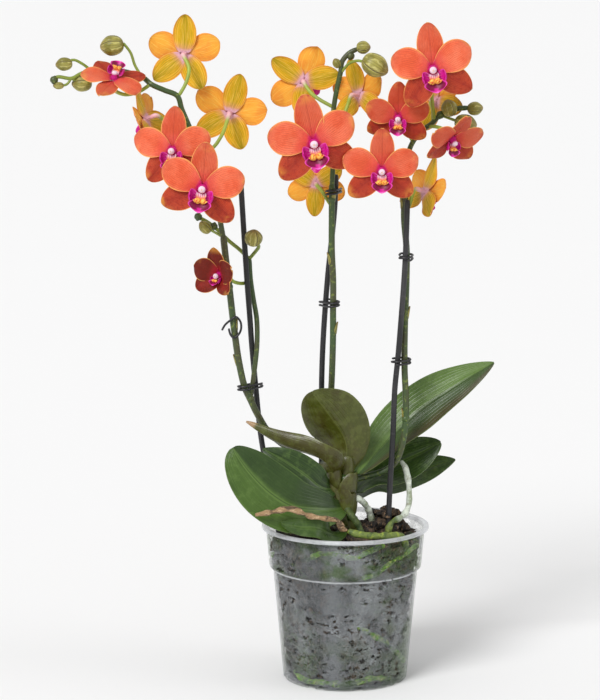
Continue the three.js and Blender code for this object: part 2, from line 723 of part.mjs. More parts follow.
function bloomBody({ size, closed, low = LOW_SEPALS }, draw) {
  const vary = (amount) => (draw() - 0.5) * 2 * amount;
  const full = BLOOM_SPAN_RADIUS * size;
  const sepal = (angle, length, width) =>
    tepal({
      angle: (angle + vary(4)) * DEGREE,
      foot: TEPAL_FOOT * size,
      length: full * length * (1 + vary(0.03)),
      width: full * width,
      layer: -0.7,
      tilt: (closed + vary(3)) * DEGREE,
      bend: (-7 - closed / 4 + vary(4)) * DEGREE,
      cup: 0,
      shape: SEPAL_SHAPE,
      columns: 1,
    });
  const petal = (angle) =>
    tepal({
      angle: (angle + vary(3)) * DEGREE,
      foot: TEPAL_FOOT * size,
      length: full * (1 + vary(0.03)),
      width: full * 0.78,
      layer: 0.8,
      tilt: (closed + 3 + vary(3)) * DEGREE,
      bend: (-9 - closed / 4 + vary(4)) * DEGREE,
      cup: 0.12,
      shape: PETAL_SHAPE,
      columns: 2,
    });
  const core = new THREE.LatheGeometry(
    BLOOM_CORE.map(([r, z]) => new THREE.Vector2(r * size, z * size)),
    5,
  ).rotateX(Math.PI / 2);
  return fuse([
    core,
    sepal(0, 1.06, 0.68),
    sepal(low[0], 1.0, 0.66),
    sepal(low[1], 1.0, 0.66),
    petal(PETAL_TURN),
    petal(-PETAL_TURN),
  ]);
}

// The lip: one blade with two raised side lobes and a hanging middle lobe. On a bloom that is still
// closed it swings forward.
function lip({ size, closed }) {
  const scale = size * (1 - closed / 110);
  const at = (y, z) => new Vector3(0, LIP_ROOT.y * size - y * scale, LIP_ROOT.z * size + z * scale);
  const rows = LIP_CUPS.length - 1;
  return blade({
    curve: new THREE.QuadraticBezierCurve3(at(0, 0), at(6, 9.6), at(17, 4.6)),
    facing: () => new Vector3(0, 1, 0.6),
    halfWidth: (t) => LIP_HALF_WIDTHS[Math.round(t * rows)] * scale,
    cup: (t) => LIP_CUPS[Math.round(t * rows)],
    thickness: TEPAL_THICKNESS,
    rows,
    columns: 2,
  })
    .translate(0, -LIP_ROOT.y * size, -LIP_ROOT.z * size)
    .rotateX(-0.7 * closed * DEGREE)
    .translate(0, LIP_ROOT.y * size, LIP_ROOT.z * size);
}

// The place of a route at a height.
function atHeight(points, z) {
  const samples = routeThrough(points).getPoints(200);
  return samples.reduce((best, p) => (Math.abs(p.z - z) < Math.abs(best.z - z) ? p : best));
}

// A wire clip: open turns round a stem and its stake, one half-circle about each of them.
function clip({ stem, stake, z, turns, height, loose = 0 }) {
  const near = atHeight(SPIKES[stem].stems[0].points, z);
  const far = stake ? atHeight(STAKES[stake], z) : near;
  const away = Math.atan2(far.y - near.y, far.x - near.x);
  const radius = SPIKES[stem].stems[0].radius + GAP + CLIP_WIRE + CLIP_SLACK + loose;
  const points = [];
  const steps = Math.round(CLIP_STEPS * turns);
  for (let k = 0; k <= steps; k++) {
    const angle = ((k + 0.5) / CLIP_STEPS) * 2 * Math.PI;
    const centre = Math.cos(angle) > 0 ? far : near;
    points.push([
      centre.x + radius * Math.cos(angle + away),
      centre.y + radius * Math.sin(angle + away),
      z + height * (k / steps - 0.5),
    ]);
  }
  return rod(points, CLIP_WIRE, { sides: 4, steps });
}

const CLIPS = {
  clip_left_low: {
    stem: "spike_left", stake: "stake_left", z: 210, turns: 1.75, height: 4, loose: 0.6,
  },
  clip_left_hook: { stem: "spike_left", z: 253, turns: 0.9, height: 9, loose: 0.4 },
  clip_middle_low: {
    stem: "spike_middle", stake: "stake_middle", z: 270, turns: 1.75, height: 4,
  },
  clip_middle_top: {
    stem: "spike_middle", stake: "stake_middle", z: 350, turns: 1.75, height: 4,
  },
  clip_right_low: { stem: "spike_right", stake: "stake_right", z: 230, turns: 1.75, height: 4 },
  clip_right_top: { stem: "spike_right", stake: "stake_right", z: 305, turns: 1.75, height: 4 },
};

// Free roots, each with its end in the bark.
const ROOTS = {
  root_dry: {
    radius: 2, finish: COLOURS.dryRoot,
    points: [
      [-64, -54, 130], [-52, -53, 132], [-39, -52.5, 134], [-26, -52, 129], [-12, -49, 126],
      [-7, -46, 124.5], [-4.5, -44, 121], [-3.1, -43.4, 118.2], [0.58, -43.93, 116.75],
    ],
  },
  root_green: {
    radius: 2.4, finish: COLOURS.greenRoot,
    points: [
      [1, -44, 116.6], [7, -45, 114.5], [18, -44, 113], [28, -40, 112], [38, -31, 110],
      [42, -26, 104], [43, -24, 97],
    ],
  },
  root_silver: {
    radius: 2.1, finish: COLOURS.silverRoot,
    points: [
      [40, 15, 155], [43, 14, 151], [45, 13, 144], [46, 12, 137], [46, 11, 124], [43, 6, 118],
      [38, -2, 116], [33, -6, 114], [30, -8, 106], [29, -9, 97],
    ],
  },
};

const orchid = new THREE.Group();
const planted = [
  ...Object.values(STAKES).map((points) => ({ points, radius: STAKE_RADIUS, sides: 8 })),
  ...CROWN_ROOTS,
  ...Object.values(ROOTS).slice(1),
  {
    points: [[CROWN.x, CROWN.y, CROWN.foot - SEAT_GAP], [CROWN.x, CROWN.y, CROWN.top]],
    radius: CROWN.footRadius + 0.4,
    sides: 10,
  },
];
orchid.add(named("pot", pot(), { ...COLOURS.pot, transparent: true, opacity: 0.35 }));
orchid.add(named("bark_mix", barkMix(planted), COLOURS.bark));
orchid.add(named("crown", crown(), COLOURS.crown));
for (const grown of LEAVES) {
  const underside = grown.name === "leaf_upright" || grown.name === "leaf_channel_left";
  orchid.add(named(grown.name, leaf(grown), underside ? COLOURS.leafBack : COLOURS.leaf));
}
for (const name of Object.keys(SPIKES)) orchid.add(named(name, spike(name), COLOURS.spike));
for (const [name, points] of Object.entries(STAKES)) {
  orchid.add(named(name, rod(points, STAKE_RADIUS, { sides: 8, steps: 9 }), COLOURS.stake));
}
for (const [name, wire] of Object.entries(CLIPS)) {
  orchid.add(named(name, clip(wire), COLOURS.wire));
}
for (const [name, { points, radius, finish }] of Object.entries(ROOTS)) {
  orchid.add(named(name, rod(points, radius, { steps: 14 }), finish));
}
BLOOMS.forEach((bloom, k) => {
  const number = String(k + 1).padStart(2, "0");
  const head = new THREE.Group();
  head.applyMatrix4(bloomFrame(bloom));
  const body = bloomBody(bloom, randomStream(100 + k));
  head.add(named(`bloom_${number}`, geometryOf(body), COLOURS.petal));
  head.add(named(`lip_${number}`, lip(bloom), COLOURS.lip));
  orchid.add(head);
});

export default orchid;
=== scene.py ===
"""A potted moth orchid, laid out as an add-on: a clear nursery pot of bark with one plant in it, its
leaves, aerial roots, staked flower spikes, blooms and buds, and the stage that it stands on.

Lengths in the tables are millimetres. The origin is the centre of the pot's flat base, +Z is up and
-Y is the front. Blooms have a frame of their own: x to the right, y to the top sepal, z to the face.
"""

import math

import bmesh
import bpy
from mathutils import Matrix, Vector, noise


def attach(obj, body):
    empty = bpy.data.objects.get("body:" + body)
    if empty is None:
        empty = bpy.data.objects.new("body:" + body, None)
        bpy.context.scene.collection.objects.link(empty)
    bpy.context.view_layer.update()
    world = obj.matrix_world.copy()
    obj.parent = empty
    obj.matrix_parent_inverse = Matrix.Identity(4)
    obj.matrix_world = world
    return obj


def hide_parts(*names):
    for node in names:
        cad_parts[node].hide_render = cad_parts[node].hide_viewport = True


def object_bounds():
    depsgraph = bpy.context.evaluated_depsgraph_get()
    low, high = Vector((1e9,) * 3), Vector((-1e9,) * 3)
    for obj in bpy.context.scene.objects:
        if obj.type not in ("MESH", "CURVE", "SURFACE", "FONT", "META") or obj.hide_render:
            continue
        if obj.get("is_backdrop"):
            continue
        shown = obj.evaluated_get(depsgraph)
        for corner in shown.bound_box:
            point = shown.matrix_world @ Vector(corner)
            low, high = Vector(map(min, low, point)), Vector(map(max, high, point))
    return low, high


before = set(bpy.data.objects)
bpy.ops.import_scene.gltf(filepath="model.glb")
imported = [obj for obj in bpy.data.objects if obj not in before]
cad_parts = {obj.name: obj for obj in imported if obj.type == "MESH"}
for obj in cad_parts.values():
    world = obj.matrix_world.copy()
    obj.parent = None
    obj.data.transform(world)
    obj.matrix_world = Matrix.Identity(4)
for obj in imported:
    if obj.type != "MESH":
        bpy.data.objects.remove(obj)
CAD_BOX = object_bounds()

bl_info = {
    "name": "Potted Moth Orchid",
    "version": (1, 0, 0),
    "blender": (4, 5, 0),
    "location": "3D View > Sidebar > Orchid",
    "description": "Builds a potted moth orchid, piece by piece, over its packed solids",
    "category": "Add Mesh",
}

MM = 0.001
DEGREE = math.pi / 180
WELD = 2e-6

# Pot
POT_HEIGHT = 112
POT_RIM_RADIUS = 60
POT_BASE_RADIUS = 44.5
POT_STEP_HEIGHT = 81
POT_WAIST_RADIUS = 52
POT_COLLAR_RADIUS = 54.5
POT_COLLAR_TOP_RADIUS = 57
POT_LIP_HEIGHT = 2.6
POT_FOOT_RING = 40
POT_FOOT_RECESS = 0.6
POT_FLOOR_TOP = 1.9
POT_SEGMENTS = 144
DRAIN_SLOTS = 8
DRAIN_SLOT = {"width": 7, "height": 3.2, "depth": 5}

# Bark mix. The mound and the ridge are flat near their middles and end at their feet. Each size of a
# bark piece is its least and what a draw adds to it.
MIX_TOP = 98
MOUND = {"flat": 10, "foot": 46}
RIDGE = {"x": 28, "y": 10, "rise": 22, "flat": 3, "foot": 25}
CORE_SIDES = 48
CORE_INSET = 4.5
CHUNK_SEED = 3
LAYING_SEED = 5
CHUNK_SHAPES = 6
CHUNK_BREAKS = 7
CHUNK_ROWS = 11
WALL_CHUNK = [[9, 7], [7, 4], [4, 2]]
HEAP_CHUNK = [[9, 6], [6, 4], [4, 4]]

# Plant
CROWN = {"x": 0, "y": -3, "foot": 92, "top": 150, "foot_radius": 8, "top_radius": 6.5}
STAKE_RADIUS = 2
CLIP_WIRE = 0.8
CLIP_GAP = 1.1
CLIP_TURNS = 1.75
CLIP_RISE = 4
CLIP_STEPS = 20
STALK_RADIUS = 1.3
BLOOM_SPAN_RADIUS = 33
BLOOM_BACK = -5.6
TEPAL_FOOT = 1.9
SEPAL = {"layer": -0.7, "cup": 0.06, "outlined": {"foot": 0.24, "widest": 0.5, "blunt": 0.52}}
PETAL = {"layer": 0.8, "cup": 0.16, "outlined": {"foot": 0.13, "widest": 0.57, "blunt": 0.52}}
PETAL_TURN = 68
LIP_ROOT = Vector((0, -4, 3.4))
# The column's radius and distance along it.
COLUMN = [
    [0.3, -5.7], [1.7, -5.4], [2, -4.4], [2.2, -2], [2.9, 0], [3.4, 1.8], [3, 3.4], [2.6, 5],
    [2.7, 6.4], [2.7, 7.6], [2.2, 8.7], [1.4, 9.3], [0.2, 9.5],
]

# Stage, in metres and degrees, with the lens in millimetres. The camera stands where it sees the pot's
# rim, step and foot as the photo does.
LENS = 135.26
CAMERA_PLACE = (-0.0326, -1.85, 0.52)
CAMERA_DROP = 8.66
SKY_STRENGTH = 0.6
# Where each lamp shines from, its strength, and its softness in degrees.
LAMPS = {"key": [(-0.6, -0.9, 0.9), 2.1, 25], "side": [(1.2, -0.3, 0.5), 0.4, 30]}
FLOOR_RINGS = (0, 0.4, 1, 2, 4, 8, 16, 32, 60)
FLOOR_SIDES = 64

# Roots that press against the inside of the pot's wall: the angle from the front towards +X in
# degrees, and the height.
WALL_ROOTS = [
    {"radius": 1.9, "places": [[-32, 95], [-21, 101], [-12, 102], [7, 99], [14, 102], [30, 107]]},
    {"radius": 1.6, "places": [[74, 100], [66, 100], [51, 97], [36, 93], [23, 86], [12, 84]]},
    {"radius": 2.2, "places": [[10, 47], [17, 44], [28, 39], [43, 31], [60, 22], [80, 12]]},
    {"radius": 2.2, "places": [[-60, 9], [-46, 5], [-26, 5], [-7, 5], [11, 6], [25, 8], [50, 5]]},
    {"radius": 1.9, "places": [[100, 96], [118, 84], [131, 66], [150, 58], [170, 60]]},
    {"radius": 2.1, "places": [[-84, 92], [-97, 78], [-118, 70], [-128, 50], [-150, 34], [-170, 30]]},
    {"radius": 1.8, "places": [[178, 96], [196, 82], [205, 60], [224, 44], [240, 14]]},
    {"radius": 2, "places": [[120, 20], [140, 8], [165, 5], [190, 6], [215, 10]]},
]

# Silver is 1 where a root's skin is dry and silvery, and -1 where it is dark.
CROWN_ROOTS = [
    {"radius": 2.3, "silver": 1, "points": [
        [4, -5, 133], [11, -4, 130], [17, 2, 121], [20, 6, 108], [20, 7, 94],
    ]},
    {"radius": 2.6, "silver": -1, "points": [[-1, -6, 127], [4, -13, 121], [10, -15, 112], [12, -16, 94]]},
]

# The height of each old leaf sheath's foot, and the direction it clasps the stem from.
SHEATHS = ((94, 170), (101, -20), (110, 195), (119, -50), (127, 215), (134, -35), (140, 150))
# The middle line of the leaf feet that fold down to the stem, and half their width.
LEAF_FEET = (
    ([[-10, -14, 158], [-8, -12, 148], [-5, -9, 138]], 7),
    ([[1, -3, 162], [1, -6, 152], [0, -8, 142]], 7),
    ([[-12, -8, 146], [-8, -10, 138], [-4, -10, 128]], 6),
)

# A leaf's light is painted light and shade: how pale its upper side is, from -1 to 1. Shaded is how dark the
# painted shade on the half after its midrib is, and dry is 1 where the tip has dried.
PLAIN_LEAF = {"slot": "leaf", "light": 0.3, "shaded": 0, "dry": 0}
LEAVES = [
    {
        "name": "leaf_right_long", "width": 37, "cup": [30, 26, 16], "light": 0.9, "shaded": 1,
        "shape": {"foot": 0.24, "widest": 0.5, "blunt": 0.75},
        "facing": [[-0.4, -0.7, 0.6], [-0.3, -0.88, 0.4], [-0.3, -0.88, 0.4]],
        "midrib": [
            [9, -1.2, 148.6], [13, 4, 152], [24, 15, 163], [41, 25, 180], [62, 28, 197], [85, 26, 212],
            [107, 20, 226],
        ],
    },
    {
        "name": "leaf_right_middle", "width": 34, "cup": [30, 24, 14], "light": -0.5,
        "shape": {"foot": 0.22, "widest": 0.55, "blunt": 0.6},
        "facing": [[-0.3, -0.7, 0.6], [-0.2, -0.85, 0.5], [-0.1, -0.9, 0.4]],
        "midrib": [
            [8.6, 1.3, 134.5], [12, 8, 137], [22, 23, 142], [40, 32, 150], [58, 36, 158], [70, 34, 165],
        ],
    },
    {
        "name": "leaf_right_low", "width": 30, "cup": [30, 22, 14], "light": -0.3,
        "shape": {"foot": 0.28, "widest": 0.55, "blunt": 0.75},
        "facing": [[-0.3, -0.7, 0.6], [-0.2, -0.8, 0.6], [-0.1, -0.85, 0.5]],
        "midrib": [[3.1, 3.7, 127], [22, 38, 133], [48, 50, 139], [68, 55, 144], [82, 55, 148]],
    },
    {
        "name": "leaf_upright", "width": 46, "cup": [50, 24, 18], "slot": "leaf_back",
        "shape": {"foot": 0.18, "widest": 0.58, "blunt": 0.5},
        "facing": [[0.1, 0.95, 0.1], [0.1, 0.95, 0.3], [0.1, 0.8, 0.6]],
        "midrib": [
            [-0.5, -1.5, 153.4], [0.5, 0, 159], [1, 1.5, 166], [-1, 2, 175], [-11, -2, 191.5],
            [-24, -9, 210],
        ],
    },
    {
        "name": "leaf_channel_left", "width": 25, "cup": [50, 78, 80], "dry": 1, "slot": "leaf_back",
        "shape": {"foot": 0.3, "widest": 0.34, "blunt": 0.8},
        "facing": [[-0.2, 0.3, 1], [-0.1, 0.75, 0.65], [-0.1, 0.75, 0.65]],
        "midrib": [
            [-8.6, -8.6, 149], [-9.5, -14, 154.5], [-13, -17, 161], [-25, -15, 167], [-40, -12, 171],
            [-54, -8, 177.5], [-71, -3, 187],
        ],
    },
    {
        "name": "leaf_left_inner", "width": 25, "cup": [40, 22, 12], "light": -0.8,
        "shape": {"foot": 0.26, "widest": 0.5, "blunt": 0.75},
        "facing": [[0.3, -0.9, 0.4], [0.3, -0.9, 0.3], [0.3, -0.9, 0.3]],
        "midrib": [
            [-9.5, -7, 139.5], [-13, -12.5, 140], [-19, -17.5, 143], [-28, -20, 151], [-44, -20, 162],
            [-59, -17, 170],
        ],
    },
    {
        "name": "leaf_left_broad", "width": 42, "cup": [30, 8, 6], "shaded": 0.45,
        "shape": {"foot": 0.16, "widest": 0.6, "blunt": 0.5},
        "facing": [[0.2, -0.8, 0.5], [0.3, -0.93, 0.2], [0.3, -0.93, 0.2]],
        "midrib": [
            [-3.2, -11.4, 126], [-9, -21, 127], [-21, -31, 129], [-38, -38.5, 133], [-53, -40, 142.5],
            [-65, -39.5, 154], [-74, -37, 165], [-80, -34, 174],
        ],
    },
    {
        "name": "leaf_small_front", "width": 15, "cup": [14, 14, 12], "light": -0.25,
        "shape": {"foot": 0.2, "widest": 0.6, "blunt": 0.6},
        "facing": [[0, -0.25, 1], [0, -0.85, 0.5], [0.1, -0.95, 0.3]],
        "midrib": [
            [-1, -11.6, 112], [-4, -24, 109.5], [-10, -37, 112], [-20, -46.5, 119], [-33, -49, 120.5],
            [-46, -48.5, 123],
        ],
    },
]

STAKES = {
    "stake_left": [
        [-75, 15, 362], [-70.5, 15, 287], [-68.4, 15, 258], [-67.2, 15, 240], [-64.5, 15.5, 210],
        [-61, 15, 175], [-54, 12, 135], [-48, 8, 104], [-43, 6, 60],
    ],
    "stake_middle": [
        [-7, 17, 362], [-8, 17, 337], [-13, 17, 286], [-16, 18, 242], [-17, 20, 210], [-17, 22, 144],
        [-17, 22, 104], [-17, 22, 50],
    ],
    "stake_right": [
        [43, -5, 346], [42, -5, 310], [41, -4, 289], [39, -3, 259], [37, -1, 232], [35, 0, 210],
        [34, 1, 179], [32, 1, 140], [31, 1, 113], [30, 1, 55],
    ],
}

# A bract is the height of its foot and the direction that it clasps the stem from.
SPIKES = {
    "spike_left": {
        "stems": [
            {"radius": 2.4, "points": [
                [-6.2, 2, 143.2], [-18, 14, 150], [-33, 20, 158], [-54, 14, 175], [-63, 9, 190],
                [-68, 7, 201], [-72, 6, 210], [-76, 4, 228], [-79, 3, 249], [-83, 4, 284], [-85, 4, 301],
                [-87, 4, 320],
            ]},
            {"radius": 1.9, "points": [
                [-86.6, 4, 316], [-90, 5, 334], [-97, 6, 359], [-104, 7, 380], [-111, 8, 397],
                [-116, 8, 409], [-119, 8, 418], [-128, 8, 422], [-137, 8, 426], [-144, 13, 431],
                [-160, 20, 435], [-175, 20, 436], [-182, 18, 436],
            ]},
            {"radius": 1.8, "points": [
                [-68.5, 7, 201], [-67, 9.8, 209], [-65.5, 10.4, 220], [-63.4, 11.5, 240], [-63.6, 16, 258],
                [-66, 20, 272], [-68, 21, 286], [-69, 21, 302],
            ]},
            {"radius": 1.3, "points": [[-69, 21, 301], [-65, 17, 306], [-62, 10, 311], [-63, 6, 314]]},
            {"radius": 1.4, "points": [
                [-69, 21, 301], [-76, 20, 308], [-83, 18, 314], [-93, 15, 324], [-100, 15, 329],
                [-106, 14, 332],
            ]},
            {"radius": 1, "points": [[-181, 18, 436], [-186, 16, 440], [-192, 14, 443], [-196, 13, 442]]},
            {"radius": 1.3, "points": [
                [-181, 18, 436], [-188, 16, 433], [-194, 14, 430], [-204, 13, 431], [-207, 12, 428],
            ]},
            {"radius": 0.9, "points": [[-194, 14, 430], [-197, 13, 426], [-200, 12, 425]]},
            {"radius": 0.9, "points": [[-86.5, 4, 318], [-92, 7, 321], [-96, 9, 323]]},
            {"radius": 1, "points": [[-144, 13, 431], [-149, 15, 439], [-152, 14, 448], [-157, 12, 455]]},
            {"radius": 1.1, "points": [[-194, 14, 430], [-190, 17, 428]]},
        ],
        "buds": [
            {"at": [-165, 12, 453], "along": [-1, 0, -0.12], "long": 8.4, "wide": 7.2},
            {"at": [-199, 13, 440], "along": [-1, 0, -0.1], "long": 6, "wide": 4.7},
            {"at": [-187, 18, 426], "along": [-1, 0, 0], "long": 7.2, "wide": 5.6},
            {"at": [-203, 12, 425], "along": [-1, 0, 0], "long": 3.9, "wide": 2.6},
            {"at": [-100, 10, 325], "along": [-0.7, 0, 0.7], "long": 5.2, "wide": 4.3},
            {"at": [-65.5, 4.5, 318], "along": [0.1, -0.3, 0.9], "long": 6.2, "wide": 6.4},
        ],
        "joints": [[-83, 4, 283], [-68, 7, 202], [-94, 15, 325], [-105, 14, 332], [-206, 12, 429]],
        "bracts": [[228, 150], [254, 20], [283, 170]],
    },
    "spike_middle": {
        "stems": [
            {"radius": 2.3, "points": [
                [-0.7, 5, 147.6], [-6, 13, 158], [-10, 18, 175], [-11, 18, 192], [-10, 16, 209],
                [-9, 12, 243], [-9, 9, 265], [-9, 8, 287], [-10, 8, 309], [-10, 8, 334], [-10, 8, 356],
            ]},
            {"radius": 1.8, "points": [
                [-10, 8, 352], [-9, 8, 380], [-9, 8, 407], [-7, 8, 421], [-4, 8, 435], [-3, 8, 442],
                [2, 8, 448], [8, 8, 451],
            ]},
            {"radius": 1, "points": [[-4, 8, 434], [2, 5, 441], [8, 0, 443], [13, -4, 442]]},
        ],
        "buds": [
            {"at": [12, 8, 452], "along": [1, 0, 0], "long": 5, "wide": 4.6},
            {"at": [20, -6, 440], "along": [0.8, 0, -0.5], "long": 10, "wide": 8},
            {"at": [-6.8, 7, 441], "along": [-0.5, 0, 1], "long": 3.6, "wide": 3},
        ],
        "joints": [[-10, 8, 345], [3, 8, 446]], "bracts": [[250, 0], [345, -30], [300, 180]],
    },
    "spike_right": {
        "stems": [
            {"radius": 2.3, "points": [
                [4.5, 3.7, 143.3], [15, 8, 145], [30, 8, 150], [37, 5, 158], [41, 3, 171], [43, 3, 188],
                [43, 3, 204], [42, 3, 224], [42, 3, 251], [43, 4, 288], [43, 4, 309], [41, 4, 334],
                [42, 4, 352],
            ]},
            {"radius": 1.8, "points": [
                [42, 4, 348], [42, 4, 364], [45, 3, 382], [52, 2, 393], [60, 2, 399], [66, 2, 405],
                [76, 3, 409], [86, 3, 410],
            ]},
            {"radius": 1, "points": [[66, 2, 405], [74, 3, 402], [80, 3, 400]]},
        ],
        "buds": [
            {"at": [72, 0, 410], "along": [-0.3, 0, 1], "long": 6.2, "wide": 5.6},
            {"at": [84, 3, 399], "along": [1, 0, -0.2], "long": 8, "wide": 6.4},
            {"at": [90.5, 3, 409.5], "along": [1, 0, 0.1], "long": 5.6, "wide": 4.8},
        ],
        "joints": [[43, 3, 188], [66, 2, 405]], "bracts": [[188, 160], [262, 20], [340, 170]],
    },
}

# Tone says how dark the front of a bloom is: 0 is light salmon, 1 red brown and 2 the dark brown of painted
# shade.
PLAIN_BLOOM = {"pitch": 0, "top": [0, 0, 1], "closed": 0, "tone": 0, "low": [125, -125]}
BLOOMS = [
    {"spike": "spike_left", "at": [-115, 30, 446], "yaw": 178, "size": 0.83, "low": [129, -149], "stalk": [
        [-118, 8, 418], [-113, 11, 427], [-111, 15, 437],
    ]},
    {
        "spike": "spike_left", "at": [-83, 32, 404], "yaw": 180, "top": [0.24, 0, 1], "size": 0.83,
        "low": [136, -144], "stalk": [[-104, 7, 379], [-95, 8, 381], [-88, 13, 390]],
    },
    {
        "spike": "spike_left", "at": [-163, 0, 430], "yaw": 10, "pitch": 58, "top": [-0.3, -0.8, -0.5],
        "size": 0.72, "closed": 10, "tone": 0.3, "stalk": [[-138, 8, 426], [-146, 9, 421], [-156, 7, 419]],
    },
    {
        "spike": "spike_left", "at": [-141, 2, 402], "yaw": -110, "pitch": -20, "top": [0, -0.3, 0.9],
        "size": 0.74, "stalk": [[-110, 8, 396], [-119, 6, 394], [-128, 4, 401]],
    },
    {
        "spike": "spike_left", "at": [-121, -23, 382], "yaw": -8, "pitch": 4, "top": [-0.05, 0, 1],
        "size": 0.86, "tone": 0.1, "low": [125, -135], "stalk": [[-106, 7.5, 386], [-111, -4, 385]],
    },
    {
        "spike": "spike_left", "at": [-100, -40, 357], "yaw": 0, "pitch": 4, "top": [0.14, 0, 1],
        "size": 0.93, "tone": 0.15, "low": [129, -118], "stalk": [[-97, 6, 358], [-98, -12, 358]],
    },
    {
        "spike": "spike_left", "at": [-89, -7, 293], "yaw": -35, "top": [0.1, 0, 1], "size": 0.72,
        "closed": 40, "tone": 2, "stalk": [[-68, 21, 287], [-72, 18, 284], [-80, 10, 286]],
    },
    {
        "spike": "spike_middle", "at": [-30, 30, 427], "yaw": 180, "top": [-0.77, 0, 0.64], "size": 0.8,
        "stalk": [[-9, 8, 410], [-20, 12, 416], [-26, 17, 421]],
    },
    {
        "spike": "spike_middle", "at": [-23, -24, 387], "yaw": 0, "pitch": 2, "top": [-0.19, 0, 1],
        "size": 1, "tone": 0.25, "low": [126, -123], "stalk": [[-9, 8, 386], [-17, -5, 387]],
    },
    {
        "spike": "spike_middle", "at": [9, 20, 418], "yaw": 140, "top": [-0.2, 0, 1], "size": 0.74,
        "closed": 6, "stalk": [[-9, 8, 396], [-3, 9, 402], [1, 12, 411]],
    },
    {"spike": "spike_middle", "at": [-21, 32, 354], "yaw": 180, "top": [0, 0, -1], "size": 0.66, "stalk": [
        [-10, 8, 340], [-13, 12, 344], [-17, 18, 350],
    ]},
    {
        "spike": "spike_right", "at": [59, -24, 438], "yaw": 0, "pitch": 3, "top": [-0.17, 0, 1],
        "size": 0.92, "tone": 0.1, "low": [121, -134],
        "stalk": [[62, 2, 401], [60, -3, 414], [59, -9, 430]],
    },
    {
        "spike": "spike_right", "at": [36, -9, 404], "yaw": -5, "pitch": -8, "size": 0.72, "closed": 8,
        "tone": 0.7, "low": [130, -117], "stalk": [[47, 3, 386], [41, 1, 397]],
    },
    {
        "spike": "spike_right", "at": [24, -28, 368], "yaw": 0, "pitch": 3, "size": 0.84, "tone": 0.35,
        "low": [128, -129], "stalk": [[42, 4, 362], [32, -9, 366]],
    },
    {
        "spike": "spike_right", "at": [73, -16, 390], "yaw": 32, "pitch": -35, "top": [0.05, 0, 1],
        "size": 0.76, "closed": 25, "tone": 0.55, "stalk": [[58, 2, 397], [63, -3, 397]],
    },
    {
        "spike": "spike_right", "at": [56, 9, 350], "yaw": 120, "pitch": -18, "top": [0.3, 0, 0.95],
        "size": 0.72, "closed": 4, "tone": 0.1, "stalk": [[42, 4, 332], [45, 4, 342]],
    },
    {
        "spike": "spike_right", "at": [64, 22, 413], "yaw": 150, "top": [-0.5, 0, 0.87], "size": 0.7,
        "stalk": [[61, 2, 400], [61, 8, 408]],
    },
]

CLIPS = {
    "clip_left_low": {"stem": "spike_left", "stake": "stake_left", "z": 210, "loose": 0.6},
    "clip_left_hook": {"line": [
        [-88.2, 3, 252], [-85.6, 0.4, 256.5], [-81.7, -0.8, 259.9], [-78.1, -0.9, 262.1],
        [-74.9, 0, 258.5], [-74.6, 0.4, 252.8], [-77, 0, 248.6], [-79.8, -0.4, 247.2], [-82, -0.6, 249.4],
        [-83.2, -0.7, 253.9],
    ]},
    "clip_middle_low": {"stem": "spike_middle", "stake": "stake_middle", "z": 270},
    "clip_middle_top": {"stem": "spike_middle", "stake": "stake_middle", "z": 350},
    "clip_right_low": {"stem": "spike_right", "stake": "stake_right", "z": 230},
    "clip_right_top": {"stem": "spike_right", "stake": "stake_right", "z": 305},
}

# Knobs is how much of its radius a root swells and shrinks by.
ROOTS = {
    "root_dry": {"radius": 2, "slot": "dry_root", "knobs": 0.3, "points": [
        [-64, -54, 130], [-52, -53, 132], [-39, -52.5, 134], [-26, -52, 129], [-12, -49, 126],
        [-7, -46, 124.5], [-4.5, -44, 121], [-3.1, -43.4, 118.2], [0.58, -43.93, 116.75],
    ]},
    "root_green": {"radius": 2.4, "slot": "green_root", "knobs": 0.17, "points": [
        [1, -44, 116.6], [7, -45, 114.5], [18, -44, 113], [28, -40, 112], [38, -31, 110], [42, -26, 104],
        [43, -24, 97],
    ]},
    "root_silver": {"radius": 2.1, "slot": "silver_root", "knobs": 0.17, "silver": 1, "points": [
        [40, 15, 155], [43, 14, 151], [45, 13, 144], [46, 12, 137], [46, 11, 124], [43, 6, 118],
        [38, -2, 116], [33, -6, 114], [30, -8, 106], [29, -9, 97],
    ]},
}

# What a user can change


def tint(red, green, blue):
    """A colour on the usual 0 to 255 scale as the linear values that a finish holds."""
    whole = []
    for part in (red / 255, green / 255, blue / 255):
        whole.append(part / 12.92 if part <= 0.04045 else ((part + 0.055) / 1.055) ** 2.4)
    return tuple(whole)


def length(name, description, millimetres):
    return bpy.props.FloatProperty(
        name=name, description=description, default=millimetres * MM, min=0, precision=5,
        subtype="DISTANCE", unit="LENGTH",
    )


def colour(name, description, red, green, blue):
    return bpy.props.FloatVectorProperty(
        name=name, description=description, default=tint(red, green, blue), size=3, min=0, max=1,
        subtype="COLOR",
    )


class OrchidSizes(bpy.types.PropertyGroup):
    """Sizes of the pot and the plant"""

    pot_wall: length("Pot wall", "Thickness of the clear plastic", 1)
    stake: length("Stake radius", "Radius of the canes", STAKE_RADIUS)
    wire: length("Clip wire radius", "Radius of the clips' wire", CLIP_WIRE)
    stalk: length("Stalk radius", "Radius of a bloom's stalk", STALK_RADIUS)
    leaf: length("Leaf thickness", "Thickness of a leaf at its midrib", 1.7)
    tepal: length("Petal thickness", "Thickness of a petal at its middle", 0.8)
    bloom: length("Bloom radius", "Centre to petal tip of a full bloom", BLOOM_SPAN_RADIUS)
    mound: length("Mound height", "How far the bark is heaped over its level", 9)
    wall_chunks: bpy.props.IntProperty(
        name="Chunks in a row", description="Bark pieces in each row against the pot's wall",
        default=26, min=8, max=60,
    )
    heap_chunks: bpy.props.IntProperty(
        name="Chunks on top", description="Bark pieces on the heap", default=170, min=20, max=400,
    )


